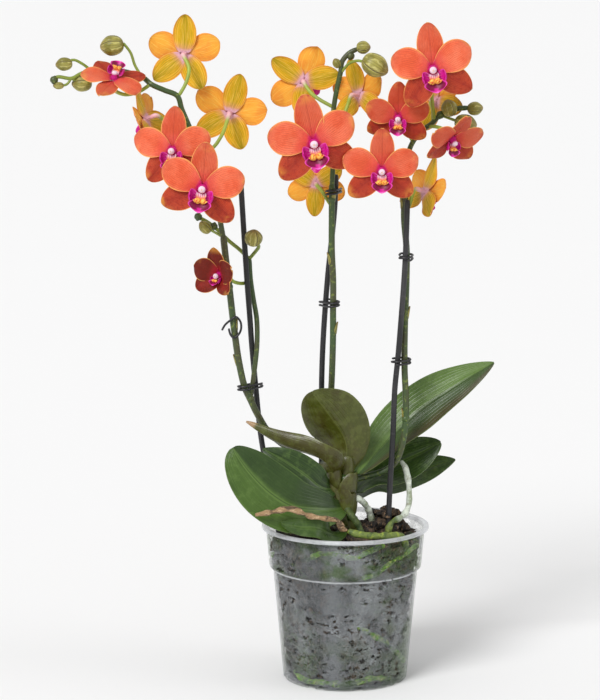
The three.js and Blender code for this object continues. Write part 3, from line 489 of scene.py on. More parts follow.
class OrchidColours(bpy.types.PropertyGroup):
    """Colours of the finishes"""

    pot_mist: colour("Mist", "Haze inside the clear pot", 134, 138, 141)
    pot_mist_light: colour("Light mist", "Thick patches of the haze", 184, 190, 192)
    pot_lip: colour("Pot lip", "Rolled lip of the pot", 218, 221, 224)
    algae: colour("Algae", "Green film inside the pot", 78, 108, 44)
    bark: colour("Bark", "Damp bark", 42, 36, 32)
    bark_pale: colour("Pale bark", "Broken faces of the bark", 112, 90, 70)
    bark_dark: colour("Dark bark", "Hollows of the bark", 22, 18, 15)
    leaf: colour("Leaf", "Upper side of a leaf", 52, 80, 16)
    # Light leaf and dark leaf also carry the painted light and painted shade that a leaf's light value sets.
    leaf_light: colour("Light leaf", "Light streaks of a leaf", 102, 130, 62)
    leaf_dark: colour("Dark leaf", "Midrib and veins of a leaf", 28, 50, 14)
    leaf_back: colour("Leaf back", "Underside of a leaf", 70, 76, 14)
    leaf_back_purple: colour("Purple cast", "Dark cast of the underside", 64, 52, 24)
    leaf_back_light: colour("Light back", "Light streaks of the underside", 104, 112, 52)
    stem: colour("Stem", "Flower stems", 58, 80, 40)
    stem_brown: colour("Stem cast", "Brown cast of stems and bud seams", 74, 56, 38)
    stalk: colour("Stalk", "Stalks of the blooms", 158, 176, 66)
    stalk_tip: colour("Stalk tip", "Stalk and bloom where they meet", 240, 186, 202)
    bud: colour("Bud", "Olive of a bud", 128, 122, 44)
    bud_green: colour("Green bud", "Green of a bud", 176, 168, 84)
    bud_rib: colour("Bud ribs", "Cream ribs of a bud", 212, 204, 128)
    bud_tip: colour("Bud tip", "Warm tip of a bud", 150, 112, 66)
    cane: colour("Cane", "Coating of the canes", 28, 28, 31)
    cane_worn: colour("Worn cane", "Worn coating", 66, 64, 66)
    wire: colour("Wire", "Clips", 30, 29, 33)
    dry_root: colour("Dry root", "Dried root and leaf tip", 166, 134, 98)
    # Pale dry root is painted light on the dry root's high parts.
    dry_root_pale: colour("Pale dry root", "High parts of the dry root", 220, 188, 148)
    green_root: colour("Green root", "Living root", 108, 124, 56)
    pressed_root: colour("Pressed root", "Roots pressed to the wall", 92, 136, 20)
    silver_root: colour("Silver root", "Dry skin of a living root", 196, 204, 190)
    root_white: colour("White root", "Driest skin of a living root", 226, 232, 218)
    petal: colour("Petal", "Front of the petals", 244, 106, 66)
    petal_shade: colour("Petal shade", "Brown of the half open bloom", 96, 26, 14)
    petal_deep: colour("Deep petal", "Dark red brown of the deeper blooms", 170, 44, 26)
    petal_light: colour("Light petal", "Light clouds of the petals", 255, 148, 112)
    petal_flush: colour("Petal flush", "Deep pink-red towards the foot", 236, 56, 74)
    petal_tip: colour("Petal end", "Yellow cast at the outer end", 246, 168, 70)
    # The petal rim is a painted highlight along the petals' edges.
    petal_rim: colour("Petal rim", "Light rim", 255, 186, 104)
    petal_foot: colour("Petal foot", "Magenta at the foot", 214, 26, 104)
    sepal_low: colour("Low sepal", "Side sepals", 180, 64, 36)
    sepal_shade: colour("Sepal shade", "Dark middle of the side sepals", 142, 36, 30)
    petal_back: colour("Petal back", "Back of the petals", 255, 178, 62)
    petal_back_light: colour("Light lines", "Light lines of the back", 255, 216, 104)
    petal_back_red: colour("Warm back", "Orange of the back", 238, 126, 48)
    petal_back_foot: colour("Back foot", "Pink cast round the stalk", 236, 150, 150)
    sepal_back: colour("Sepal back", "Back of the sepals", 232, 182, 24)
    sepal_back_green: colour("Green lines", "Green lines of the back", 158, 148, 18)
    column_pink: colour("Column ring", "Magenta round the column", 208, 40, 140)
    column_white: colour("Column", "Hood of the column", 250, 226, 240)
    throat: colour("Throat", "Inside of the lip", 236, 140, 60)
    callus: colour("Callus", "Golden bumps of the lip", 250, 190, 84)
    callus_spot: colour("Callus spots", "Red marks of the lip", 214, 84, 34)
    lip: colour("Lip", "Side lobes", 206, 18, 142)
    lip_deep: colour("Deep lip", "Dark marks of the lip", 150, 14, 78)
    lip_rim: colour("Lip rim", "Light rims of the lip", 246, 96, 196)
    lip_dark: colour("Lip middle", "Crimson of the middle lobe", 124, 6, 62)


def size_of(kind):
    """A size from the sidebar, in millimetres."""
    return getattr(bpy.context.scene.orchid_sizes, kind) / MM


def finish(maker):
    """A finish, made from the sidebar's colours when it is first needed."""
    if maker not in FINISHES:
        FINISHES[maker] = maker(bpy.context.scene.orchid_colours)
    return FINISHES[maker]


FINISHES = {}

# Shapes


def random_stream(seed):
    """A repeatable draw between 0 and 1, the same that varies the solids."""
    state = seed

    def draw():
        nonlocal state
        state = (state + 0x6D2B79F5) & 0xFFFFFFFF
        mixed = ((state ^ (state >> 15)) * (1 | state)) & 0xFFFFFFFF
        turned = ((mixed ^ (mixed >> 7)) * (61 | mixed)) & 0xFFFFFFFF
        mixed = ((mixed + turned) & 0xFFFFFFFF) ^ mixed
        return (mixed ^ (mixed >> 14)) / 4294967296

    return draw


def mix(a, b, share):
    return a + (b - a) * share


def ease(low, high, value):
    """0 below low, 1 above high, and smooth between."""
    share = min(max((value - low) / (high - low), 0), 1)
    return share * share * (3 - 2 * share)


def bell(value, centre, spread):
    return math.exp(-(((value - centre) / spread) ** 2))


class Path:
    """A curve through close places, read by its share of length."""

    def __init__(self, places):
        self.places = places
        self.reach = [0]
        for a, b in zip(places, places[1:]):
            self.reach.append(self.reach[-1] + (b - a).length)
        self.length = self.reach[-1]

    def at(self, share):
        wanted = min(max(share, 0), 1) * self.length
        low, high = 0, len(self.reach) - 1
        while high - low > 1:
            middle = (low + high) // 2
            if self.reach[middle] <= wanted:
                low = middle
            else:
                high = middle
        span = self.reach[high] - self.reach[low]
        return self.places[low].lerp(self.places[high], (wanted - self.reach[low]) / (span or 1))

    def along(self, share):
        step = 0.01
        return (self.at(share + step) - self.at(share - step)).normalized()

    def even(self, spacing):
        count = max(2, round(self.length / spacing))
        return [self.at(k / count) for k in range(count + 1)]


def through(points, dense=16):
    """A smooth curve through a few places, of the kind that the solids follow."""
    spots = [Vector(p) for p in points]
    spots = [2 * spots[0] - spots[1], *spots, 2 * spots[-1] - spots[-2]]
    places = []
    for a, b, c, d in zip(spots, spots[1:], spots[2:], spots[3:]):
        ab, bc, cd = (math.sqrt((q - p).length) for p, q in ((a, b), (b, c), (c, d)))
        leave = ((b - a) / ab - (c - a) / (ab + bc) + (c - b) / bc) * bc
        arrive = ((c - b) / bc - (d - b) / (bc + cd) + (d - c) / cd) * bc
        for k in range(dense):
            t = k / dense
            square = 3 * (c - b) - 2 * leave - arrive
            cube = 2 * (b - c) + leave + arrive
            places.append(b + t * leave + t * t * square + t**3 * cube)
    places.append(spots[-2])
    return Path(places)


def arc(start, middle, end, dense=24):
    """A curve from start to end that is pulled towards middle."""
    shares = [k / dense for k in range(dense + 1)]
    return Path([start.lerp(middle, share).lerp(middle.lerp(end, share), share) for share in shares])


def new_mesh(name, places, edges, faces, values):
    """A mesh from places in millimetres, with its named values on its points."""
    made = bpy.data.meshes.new(name)
    made.from_pydata([place * MM for place in places], edges, faces)
    for kind, held in values.items():
        made.attributes.new(kind, "FLOAT", "POINT").data.foreach_set("value", held)
    return made


class Shape:
    """The places and faces of one piece in millimetres, with the values that its finish reads."""

    def __init__(self, *kinds):
        self.places, self.faces, self.uvs = [], [], []
        self.values = {kind: [] for kind in kinds}

    def add(self, places, faces, uvs, **values):
        start = len(self.places)
        self.places += places
        self.faces += [[k + start for k in face] for face in faces]
        self.uvs += uvs
        for kind, held in self.values.items():
            given = values.get(kind, 0)
            held += given if isinstance(given, list) else [given] * len(places)

    def moved(self, matrix):
        self.places = [matrix @ place for place in self.places]
        return self

    def mesh(self, name):
        made = new_mesh(name, self.places, [], self.faces, self.values)
        pattern = made.uv_layers.new(name="pattern")
        for corner in made.loops:
            pattern.data[corner.index].uv = self.uvs[corner.vertex_index]
        work = bmesh.new()
        work.from_mesh(made)
        bmesh.ops.remove_doubles(work, verts=work.verts, dist=WELD)
        bmesh.ops.recalc_face_normals(work, faces=work.faces)
        work.to_mesh(made)
        work.free()
        made.shade_smooth()
        return made


def outline(width, foot, widest, blunt, tip=0.004):
    """The half-width of a blade: a narrow foot, a widest place and a round tip."""
    start = foot * foot
    shift = math.log(0.5) / math.log(widest)

    def half_width(t):
        along = start + (1 - start - tip) * t**shift
        return width / 2 * math.sin(math.pi * along) ** blunt

    return half_width


def flat(t, s):
    return 0


def add_blade(shape, path, facing, half_width, cup, thickness, rows, columns, wave=flat, **values):
    """Adds a thin closed blade along a path. Its cross-section is an arc: the cup is the angle that
    each edge has turned towards the facing side, and it thins out to its edges."""
    fronts, backs, uvs = [], [], []
    for i in range(rows + 1):
        t = (1 - math.cos(math.pi * i / rows)) / 2
        along = path.along(t)
        across = along.cross(facing(t)).normalized()
        up = across.cross(along)
        here, half, edge = path.at(t), half_width(t), cup(t)
        for j in range(columns + 1):
            s = math.sin(math.pi * (j / columns - 0.5))
            turned = edge * s
            flatness = abs(edge) < 1e-3
            sideways = s if flatness else math.sin(turned) / edge
            raised = 0 if flatness else (1 - math.cos(turned)) / edge
            place = here + across * (sideways * half) + up * (raised * half + wave(t, s))
            normal = up * math.cos(turned) - across * math.sin(turned)
            deep = thickness / 2 * (1 - 0.7 * max(s * s, (2 * t - 1) ** 8))
            fronts.append(place + normal * deep)
            backs.append(place - normal * deep)
            uvs.append(((s + 1) / 2, t))
    per_row = columns + 1
    under = (rows + 1) * per_row
    faces = []
    for i in range(rows):
        for j in range(columns):
            a = i * per_row + j
            ring = [a, a + 1, a + per_row + 1, a + per_row]
            faces += [ring, [k + under for k in reversed(ring)]]
    rim = [(j, j + 1) for j in range(columns)]
    rim += [(i * per_row + columns, (i + 1) * per_row + columns) for i in range(rows)]
    rim += [(rows * per_row + j + 1, rows * per_row + j) for j in range(columns)]
    rim += [((i + 1) * per_row, i * per_row) for i in range(rows)]
    faces += [[b, a, a + under, b + under] for a, b in rim]
    side = [0.0] * under + [1.0] * under
    shape.add(fronts + backs, faces, uvs + uvs, side=side, **values)


def ring_faces(rows, around):
    """The faces between rows of places that go round an axis."""
    faces = []
    for i in range(rows):
        for j in range(around):
            a, b = i * around + j, i * around + (j + 1) % around
            faces.append([a, b, b + around, a + around])
    return faces


def add_turned(shape, centre, direction, profile, around, swell=flat, **values):
    """Adds a closed turned body: its profile holds radius and distance along the direction, and
    swell changes the radius by the share of the profile and of the turn."""
    turn = Vector((0, 0, 1)).rotation_difference(Vector(direction).normalized())
    centre = Vector(centre)
    places, uvs = [], []
    last = len(profile) - 1
    for i, (radius, far) in enumerate(profile):
        for j in range(around):
            angle = 2 * math.pi * j / around
            wide = radius * (1 + swell(i / last, j / around))
            places.append(centre + turn @ Vector((wide * math.cos(angle), wide * math.sin(angle), far)))
            uvs.append((j / around, i / last))
    ends = [list(range(around))[::-1], [last * around + j for j in range(around)]]
    shape.add(places, ring_faces(last, around) + ends, uvs, **values)


def lathe(profile, around):
    """A turned closed shell about the vertical, from a profile that starts and ends on the axis."""
    shape = Shape()
    for radius, z in profile:
        for j in range(around):
            angle = 2 * math.pi * j / around
            shape.places.append(Vector((radius * math.sin(angle), radius * math.cos(angle), z)))
            shape.uvs.append((j / around, z / POT_HEIGHT))
    shape.faces = ring_faces(len(profile) - 1, around)
    return shape


def egg_profile(long, wide, blunt, steps):
    """The profile of an egg, with small round poles."""
    rings = []
    for k in range(steps + 1):
        angle = math.pi * (0.02 + 0.96 * k / steps)
        rings.append((wide * math.sin(angle) ** blunt, -long * math.cos(angle)))
    return rings


# Pieces


def linked(name, data):
    """A new object in the scene."""
    made = bpy.data.objects.new(name, data)
    bpy.context.scene.collection.objects.link(made)
    return made


def baked(thing, name):
    """The plain mesh that an object's modifiers make. The object is removed."""
    graph = bpy.context.evaluated_depsgraph_get()
    mesh = bpy.data.meshes.new_from_object(
        thing.evaluated_get(graph), preserve_all_data_layers=True, depsgraph=graph
    )
    thing.modifiers.clear()
    bpy.data.objects.remove(thing)
    mesh.name = name
    return mesh


def added(name, mesh, finish, slot, *stands_for):
    """Puts a finished piece into the scene, on the part's one body."""
    piece = linked(name, mesh)
    mesh.materials.clear()
    mesh.materials.append(finish)
    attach(piece, "root")
    if stands_for:
        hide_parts(*stands_for)
    return piece


def socket(tree, name, kind, value=None, output=False):
    made = tree.interface.new_socket(name, in_out="OUTPUT" if output else "INPUT", socket_type=kind)
    if value is not None:
        made.default_value = value
    return made


def node(tree, kind, links=None, **settings):
    """Adds a node, with its settings and what its inputs are linked or set to."""
    made = tree.nodes.new(kind)
    for name, value in settings.items():
        setattr(made, name, value)
    for name, value in (links or {}).items():
        if isinstance(value, bpy.types.NodeSocket):
            tree.links.new(value, made.inputs[name])
        else:
            made.inputs[name].default_value = value
    return made


def new_tree(name):
    tree = bpy.data.node_groups.new(name, "GeometryNodeTree")
    socket(tree, "Geometry", "NodeSocketGeometry")
    socket(tree, "Geometry", "NodeSocketGeometry", output=True)
    return tree


def ended(tree, geometry, finish):
    """Ends a tree with real meshes in one finish."""
    real = node(tree, "GeometryNodeRealizeInstances", {"Geometry": geometry})
    shaded = node(tree, "GeometryNodeSetMaterial", {"Geometry": real.outputs[0], "Material": finish})
    node(tree, "NodeGroupOutput", {"Geometry": shaded.outputs[0]})
    return tree


def named_value(tree, name, kind="FLOAT"):
    made = node(tree, "GeometryNodeInputNamedAttribute", {"Name": name}, data_type=kind)
    return made.outputs["Attribute"]


def rod_tree():
    """A round rod along every line, as thick as its points' girth says."""
    tree = new_tree("Swept Rod")
    socket(tree, "Sides", "NodeSocketInt", 12)
    socket(tree, "Finish", "NodeSocketMaterial")
    given = node(tree, "NodeGroupInput").outputs
    girth = named_value(tree, "girth")
    lines = node(tree, "GeometryNodeMeshToCurve", {"Mesh": given["Geometry"]})
    thick = node(tree, "GeometryNodeSetCurveRadius", {"Curve": lines.outputs[0], "Radius": girth})
    ring = node(tree, "GeometryNodeCurvePrimitiveCircle", {"Resolution": given["Sides"], "Radius": 1.0})
    links = {"Curve": thick.outputs[0], "Profile Curve": ring.outputs[0], "Fill Caps": True}
    swept = node(tree, "GeometryNodeCurveToMesh", links)
    if "Scale" in swept.inputs:
        tree.links.new(girth, swept.inputs["Scale"])
    round_sides = node(tree, "GeometryNodeSetShadeSmooth", {"Geometry": swept.outputs[0]})
    return ended(tree, round_sides.outputs[0], given["Finish"])


def chunk_tree():
    """One of a set of shapes on every point, turned and sized as the point says."""
    tree = new_tree("Scattered Chunks")
    socket(tree, "Chunks", "NodeSocketCollection")
    socket(tree, "Seed", "NodeSocketInt", 5)
    socket(tree, "Finish", "NodeSocketMaterial")
    given = node(tree, "NodeGroupInput").outputs
    links = {"Collection": given["Chunks"], "Separate Children": True, "Reset Children": True}
    shapes = node(tree, "GeometryNodeCollectionInfo", links)
    links = {"Min": 0, "Max": CHUNK_SHAPES - 1, "Seed": given["Seed"]}
    pick = node(tree, "FunctionNodeRandomValue", links, data_type="INT")
    links = {"Euler": named_value(tree, "turn", "FLOAT_VECTOR")}
    turn = node(tree, "FunctionNodeEulerToRotation", links)
    links = {
        "Points": given["Geometry"], "Instance": shapes.outputs[0], "Pick Instance": True,
        "Rotation": turn.outputs[0], "Scale": named_value(tree, "size", "FLOAT_VECTOR"),
    }
    set_out = node(tree, "GeometryNodeInstanceOnPoints", links)
    drawn = next(s for s in pick.outputs if s.enabled)
    tree.links.new(drawn, set_out.inputs["Instance Index"])
    return ended(tree, set_out.outputs[0], given["Finish"])


def grown(name, mesh, tree, **inputs):
    """Runs a tree on a mesh and returns the result as a plain mesh."""
    seedling = linked(name, mesh)
    modifier = seedling.modifiers.new(tree.name, "NODES")
    modifier.node_group = tree
    for item in tree.interface.items_tree:
        if item.item_type == "SOCKET" and item.in_out == "INPUT" and item.name in inputs:
            modifier[item.identifier] = inputs[item.name]
    return baked(seedling, name)


class Lines:
    """Lines that become rods: places in millimetres, with the girth and the values of each."""

    def __init__(self, *kinds):
        self.places, self.edges = [], []
        self.values = {kind: [] for kind in ("girth", *kinds)}

    def add(self, path, radius, spacing=1.5, round_ends=True, **values):
        """Radius and values are numbers, or functions of the share of the path."""
        places = path.even(spacing)
        count = len(places) - 1
        shares = [k / count for k in range(count + 1)]
        read = lambda value, t: value(t) if callable(value) else value
        girths = [read(radius, t) for t in shares]
        rows = list(zip(places, girths, shares))
        if round_ends:
            rows = capped(rows, path)
        start = len(self.places)
        self.places += [place for place, _, _ in rows]
        self.edges += [(start + k, start + k + 1) for k in range(len(rows) - 1)]
        self.values["girth"] += [girth * MM for _, girth, _ in rows]
        for kind, held in self.values.items():
            if kind != "girth":
                held += [read(values.get(kind, 0), t) for _, _, t in rows]

    def mesh(self, name):
        return new_mesh(name, self.places, self.edges, [], self.values)


def capped(rows, path):
    """Rounds the two ends of a rod, inside its length."""
    first, last = rows[0], rows[-1]
    starts = [
        (path.at(first[1] * far / path.length), first[1] * girth, 0.0)
        for girth, far in ((0.25, 0), (0.6, 0.12), (0.86, 0.45))
    ]
    ends = [
        (path.at(1 - last[1] * far / path.length), last[1] * girth, 1.0)
        for girth, far in ((0.86, 0.45), (0.6, 0.12), (0.25, 0))
    ]
    inner = [
        row for row in rows if first[1] < row[2] * path.length < path.length - last[1]
    ]
    return starts + inner + ends


def rods(name, lines, finish, sides=12):
    return grown(name, lines.mesh(name), TREES["rod"], Sides=sides, Finish=finish)


TREES = {}

# Finishes


class Paint:
    """A finish in the making: its nodes, and short ways to add what the finishes share."""

    def __init__(self, name, colours=None):
        self.colours = colours
        self.material = bpy.data.materials.new(name)
        self.material.use_nodes = True
        self.tree = self.material.node_tree
        self.tree.nodes.clear()

    def node(self, kind, links=None, **settings):
        return node(self.tree, kind, links, **settings)

    def value(self, name):
        return self.node("ShaderNodeAttribute", attribute_name=name).outputs["Fac"]

    def spot(self, stretch=(1, 1, 1)):
        """The place on the object in metres, squeezed along its axes."""
        place = self.node("ShaderNodeTexCoord").outputs["Object"]
        mapped = self.node("ShaderNodeMapping", {"Vector": place, "Scale": stretch})
        return mapped.outputs[0]

    def pattern(self, stretch=(1, 1, 1)):
        """The piece's own pattern coordinates: across, along."""
        place = self.node("ShaderNodeUVMap", uv_map="pattern").outputs[0]
        return self.node("ShaderNodeMapping", {"Vector": place, "Scale": stretch}).outputs[0]

    def across_along(self):
        parts = self.node("ShaderNodeSeparateXYZ", {"Vector": self.pattern()})
        return parts.outputs[0], parts.outputs[1]

    def math(self, operation, first, second=0.0):
        return self.node("ShaderNodeMath", {0: first, 1: second}, operation=operation).outputs[0]

    def plus(self, first, second):
        return self.math("ADD", first, second)

    def minus(self, first, second):
        return self.math("SUBTRACT", first, second)

    def most(self, first, second):
        return self.math("MAXIMUM", first, second)

    def ease(self, value, low, high, amount=1.0):
        """0 at low, the amount at high, and smooth between; high may be the lower one."""
        ramp = self.node(
            "ShaderNodeMapRange",
            {"Value": value, "From Min": low, "From Max": high, "To Max": amount},
            interpolation_type="SMOOTHSTEP",
        )
        return ramp.outputs[0]

    def band(self, value, middle, half):
        """1 where a value is at the middle, 0 once it is half a band away."""
        return self.ease(self.math("ABSOLUTE", self.minus(value, middle)), half, 0.0)

    def sideways(self, across):
        """-1 at one edge, 0 on the midrib and 1 at the other edge."""
        return self.minus(self.math("MULTIPLY", across, 2.0), 1.0)

    def edge(self, across):
        """0 on the midrib and 1 at both edges."""
        return self.math("ABSOLUTE", self.sideways(across))

    def hue(self, value):
        """A colour: a mixed one as it is, one of the sidebar's by its name, or a plain one."""
        if isinstance(value, bpy.types.NodeSocket):
            return value
        if isinstance(value, str):
            value = getattr(self.colours, value)
        return (*value[:3], 1)

    def mix(self, share, first, second):
        links = {0: share, 6: self.hue(first), 7: self.hue(second)}
        return self.node("ShaderNodeMix", links, data_type="RGBA").outputs[2]

    def noise(self, scale, place=None, detail=3.0, rough=0.55):
        made = self.node(
            "ShaderNodeTexNoise",
            {"Vector": place or self.spot(), "Scale": scale, "Detail": detail, "Roughness": rough},
        )
        return made.outputs[0]

    def strands(self, across, count, wander, amount):
        """Fine lines that run along the piece: 1 in the middle of a line."""
        moved = self.plus(across, self.times(wander, amount))
        wave = self.math("COSINE", self.math("MULTIPLY", moved, 2 * math.pi * count))
        return self.math("POWER", self.most(wave, 0.0), 3.0)

    def net(self, place, scale):
        """A fine net of lines: 1 on a line."""
        cells = self.node(
            "ShaderNodeTexVoronoi", {"Vector": place, "Scale": scale}, feature="DISTANCE_TO_EDGE"
        )
        return self.ease(cells.outputs["Distance"], 0.09, 0.0)

    def times(self, *shares):
        total = shares[0]
        for share in shares[1:]:
            total = self.math("MULTIPLY", total, share)
        return total

    def over(self, base, *layers):
        """Lays colours over a base, each as (share, colour)."""
        for share, colour in layers:
            base = self.mix(share, base, colour)
        return base

    def done(self, colour, roughness=0.5, relief=None, depth=0.0002, **settings):
        links = {"Base Color": self.hue(colour), "Roughness": roughness}
        if relief is not None:
            bump = self.node("ShaderNodeBump", {"Height": relief, "Distance": depth, "Strength": 1.0})
            links["Normal"] = bump.outputs[0]
        return self.ended(self.node("ShaderNodeBsdfPrincipled", links | settings))

    def ended(self, skin):
        self.node("ShaderNodeOutputMaterial", {"Surface": skin.outputs[0]})
        return self.material


def pot_finish(colours):
    """Thin clear plastic, misted inside, with clear pocks ringed by a painted highlight, and green algae."""
    paint = Paint("misted clear plastic", colours)
    parts = paint.node("ShaderNodeSeparateXYZ", {"Vector": paint.spot()})
    across, height = parts.outputs[0], parts.outputs[2]
    step, mix_top, top = POT_STEP_HEIGHT * MM, MIX_TOP * MM, POT_HEIGHT * MM
    collar = paint.ease(height, step - 0.003, step + 0.003)
    above_mix = paint.ease(height, mix_top + 0.004, mix_top + 0.008)
    rim = paint.ease(height, top - 0.004, top - 0.0025)
    below_ring = paint.ease(height, step + 0.0005, step - 0.0002)
    ring = paint.times(paint.ease(height, step - 0.0015, step - 0.0007), below_ring)
    broad = paint.noise(24.0, paint.spot((1, 1, 0.6)), 4.0, 0.6)
    fine = paint.noise(150.0, None, 5.0, 0.75)
    crackle = paint.noise(205.0, paint.spot((1, 1, 1.6)), 3.0, 0.62)
    where = paint.ease(paint.noise(30.0, paint.spot((1, 1, 1.4)), 3.0, 0.6), 0.42, 0.58)
    low = paint.ease(height, 0.07, 0.01)
    right = paint.ease(across, 0.005, 0.04)
    where = paint.most(where, paint.times(paint.most(right, low), 0.5))
    below_rim = paint.ease(height, top - 0.0035, top - 0.005)
    pocks = paint.times(paint.ease(crackle, 0.535, 0.58), where, below_rim)
    # A painted highlight in a thin ring round each clear pock.
    painted_pock_highlight = paint.times(paint.band(crackle, 0.515, 0.018), where)
    patches = paint.ease(paint.noise(38.0, paint.spot((1, 1, 1.3)), 5.0, 0.68), 0.43, 0.58)
    algae = paint.times(patches, paint.plus(paint.times(collar, 0.75), paint.times(right, 0.6)))
    algae = paint.most(algae, paint.times(patches, low, 0.4))
    shine = paint.most(rim, ring)
    body = paint.over(
        "pot_mist",
        (paint.ease(broad, 0.5, 0.62, 0.5), "pot_mist_light"),
        (algae, "algae"),
        (paint.times(painted_pock_highlight, 0.5), "pot_lip"),
        (shine, "pot_lip"),
    )
    off_streak = paint.math("ABSOLUTE", paint.plus(across, 0.009))
    streak = paint.math("POWER", paint.ease(off_streak, 0.018, 0.0), 2.0)
    mist = paint.plus(-0.47, paint.times(broad, 0.75))
    for share, amount in (
        (fine, 0.6), (streak, 0.28), (shine, 0.3), (painted_pock_highlight, 0.12), (pocks, -0.48), (above_mix, -0.1),
    ):
        mist = paint.plus(mist, paint.times(share, amount))
    facing = paint.node("ShaderNodeLayerWeight", {"Blend": 0.35}).outputs["Facing"]
    share = paint.most(paint.plus(mist, paint.times(facing, facing, 0.6)), 0.03)
    skin = paint.node("ShaderNodeBsdfPrincipled", {"Base Color": body, "Roughness": 0.2, "IOR": 1.49})
    clear = paint.node("ShaderNodeBsdfTransparent")
    both = {0: share, 1: clear.outputs[0], 2: skin.outputs[0]}
    return paint.ended(paint.node("ShaderNodeMixShader", both))


def bark_finish(colours):
    """Rough dark bark with paler broken fibres and green films."""
    paint = Paint("bark", colours)
    broad = paint.noise(75.0)
    moss = paint.noise(48.0, paint.spot((1, 1, 1.4)), 3.0, 0.6)
    fibre = paint.noise(240.0, paint.spot((1, 2.6, 0.5)), 5.0, 0.7)
    torn = paint.noise(380.0, paint.spot((2.2, 0.5, 1)), 4.0, 0.7)
    parts = paint.node("ShaderNodeSeparateXYZ", {"Vector": paint.spot()})
    open_air = paint.ease(parts.outputs[2], (MIX_TOP + 2) * MM, (MIX_TOP + 10) * MM)
    colour = paint.over(
        "bark",
        (paint.ease(broad, 0.52, 0.6, 0.45), "bark_pale"),
        (paint.ease(moss, 0.54, 0.64, 0.5), "algae"),
        (paint.ease(fibre, 0.46, 0.58, 0.9), "bark_dark"),
        (paint.ease(torn, 0.55, 0.62, 0.75), "bark_pale"),
        (paint.times(open_air, paint.ease(fibre, 0.5, 0.42), 0.55), "bark_pale"),
        (paint.times(open_air, paint.ease(torn, 0.56, 0.64), 0.7), "dry_root"),
    )
    return paint.done(colour, 0.9, paint.plus(fibre, paint.times(torn, 0.6)), 0.0022)


def leaf_finish(colours):
    """Glossy green above, pale beside the midrib and dark on a shaded half; olive brown beneath."""
    paint = Paint("leaf", colours)
    across, along = paint.across_along()
    edge = paint.edge(across)
    side, light, shaded = paint.value("side"), paint.value("light"), paint.value("shaded")
    half = paint.times(shaded, paint.sideways(across))
    wander = paint.noise(22.0)
    streak = paint.noise(1.0, paint.pattern((26, 1.6, 1)), 4.0, 0.6)
    cloud = paint.noise(34.0, None, 5.0, 0.65)
    mottle = paint.noise(170.0, None, 4.0, 0.65)
    veins = paint.strands(across, 15.0, wander, 0.12)
    midrib = paint.ease(edge, 0.03, 0.0)
    beside = paint.ease(edge, 0.12, 0.02, 0.5)
    upper = paint.over(
        "leaf",
        # Painted light and shade: a leaf's light value lays leaf_light over lit leaves and leaf_dark over
        # shaded ones.
        (paint.most(paint.times(light, 0.7), 0.0), "leaf_light"),
        (paint.most(paint.times(light, -0.9), 0.0), "leaf_dark"),
        (paint.ease(cloud, 0.4, 0.66, 0.5), "leaf_dark"),
        (paint.ease(streak, 0.45, 0.7, 0.3), "leaf_light"),
        (paint.ease(mottle, 0.5, 0.66, 0.25), "leaf_light"),
        (beside, "leaf_light"),
        (paint.times(veins, 0.05), "leaf_dark"),
        (paint.times(midrib, 0.75), "leaf_dark"),
        # Painted shade on the shaded half: leaf_dark past the midrib, deepening to the underside's purple
        # cast.
        (paint.ease(half, 0.0, 0.1, 0.7), "leaf_dark"),
        (paint.ease(half, 0.4, 0.9, 0.75), "leaf_back_purple"),
        (paint.ease(edge, 0.96, 1.0, 0.4), "leaf_light"),
    )
    lower = paint.over(
        "leaf_back",
        (paint.ease(cloud, 0.38, 0.6, 0.6), "leaf_back_purple"),
        (paint.ease(mottle, 0.45, 0.62, 0.35), "leaf_back_light"),
        (paint.times(midrib, 0.5), "leaf_back_light"),
        (paint.times(veins, 0.05), "leaf_dark"),
        (paint.ease(edge, 0.9, 1.0, 0.4), "leaf_back_light"),
    )
    colour = paint.mix(side, upper, lower)
    dry = paint.plus(along, paint.times(wander, 0.06))
    dry = paint.times(paint.value("dry"), paint.ease(dry, 0.93, 0.98))
    colour = paint.over(colour, (dry, "dry_root"))
    relief = paint.plus(paint.times(veins, -0.1), paint.times(cloud, 0.8))
    rough = paint.plus(0.2, paint.times(mottle, 0.22))
    return paint.done(colour, rough, relief, 0.0006, **{"Specular IOR Level": 0.45})


def stem_finish(colours):
    """Dark green with a brown cast, paler green on the stalks and white-pink below a bloom."""
    paint = Paint("stem", colours)
    blush = paint.value("blush")
    cloud = paint.noise(70.0, paint.spot((1, 1, 0.35)), 4.0, 0.6)
    speck = paint.noise(420.0, None, 2.0, 0.5)
    colour = paint.over(
        "stem",
        (paint.ease(cloud, 0.4, 0.65, 0.6), "stem_brown"),
        (paint.ease(speck, 0.56, 0.7, 0.3), "stalk"),
        (paint.ease(blush, 0.05, 0.5), "stalk"),
        (paint.ease(blush, 0.8, 1.0), "stalk_tip"),
    )
    return paint.done(colour, 0.42, cloud, 0.0003)


def bud_finish(colours):
    """Olive green with cream ribs, brown seams and a purple brown tip."""
    paint = Paint("bud", colours)
    across, along = paint.across_along()
    cloud = paint.noise(130.0, None, 3.0, 0.6)
    seam = paint.math("ABSOLUTE", paint.math("COSINE", paint.math("MULTIPLY", across, 3 * math.pi)))
    seam = paint.ease(seam, 0.2, 0.0)
    beside = paint.ease(seam, 0.0, 0.5)
    ribs = paint.strands(across, 9.0, cloud, 0.16)
    fine = paint.strands(across, 27.0, cloud, 0.04)
    colour = paint.over(
        "bud",
        (paint.ease(cloud, 0.42, 0.6, 0.6), "bud_green"),
        (paint.times(fine, 0.45), "stem_brown"),
        (paint.times(ribs, paint.ease(cloud, 0.36, 0.6), 0.75), "bud_rib"),
        (paint.ease(along, 0.6, 1.0, 0.6), "bud_tip"),
        (paint.times(beside, 0.5), "bud_rib"),
        (paint.ease(seam, 0.5, 0.9, 0.85), "stem_brown"),
    )
    relief = paint.minus(paint.times(ribs, 0.4), seam)
    return paint.done(colour, 0.4, relief, 0.0005)


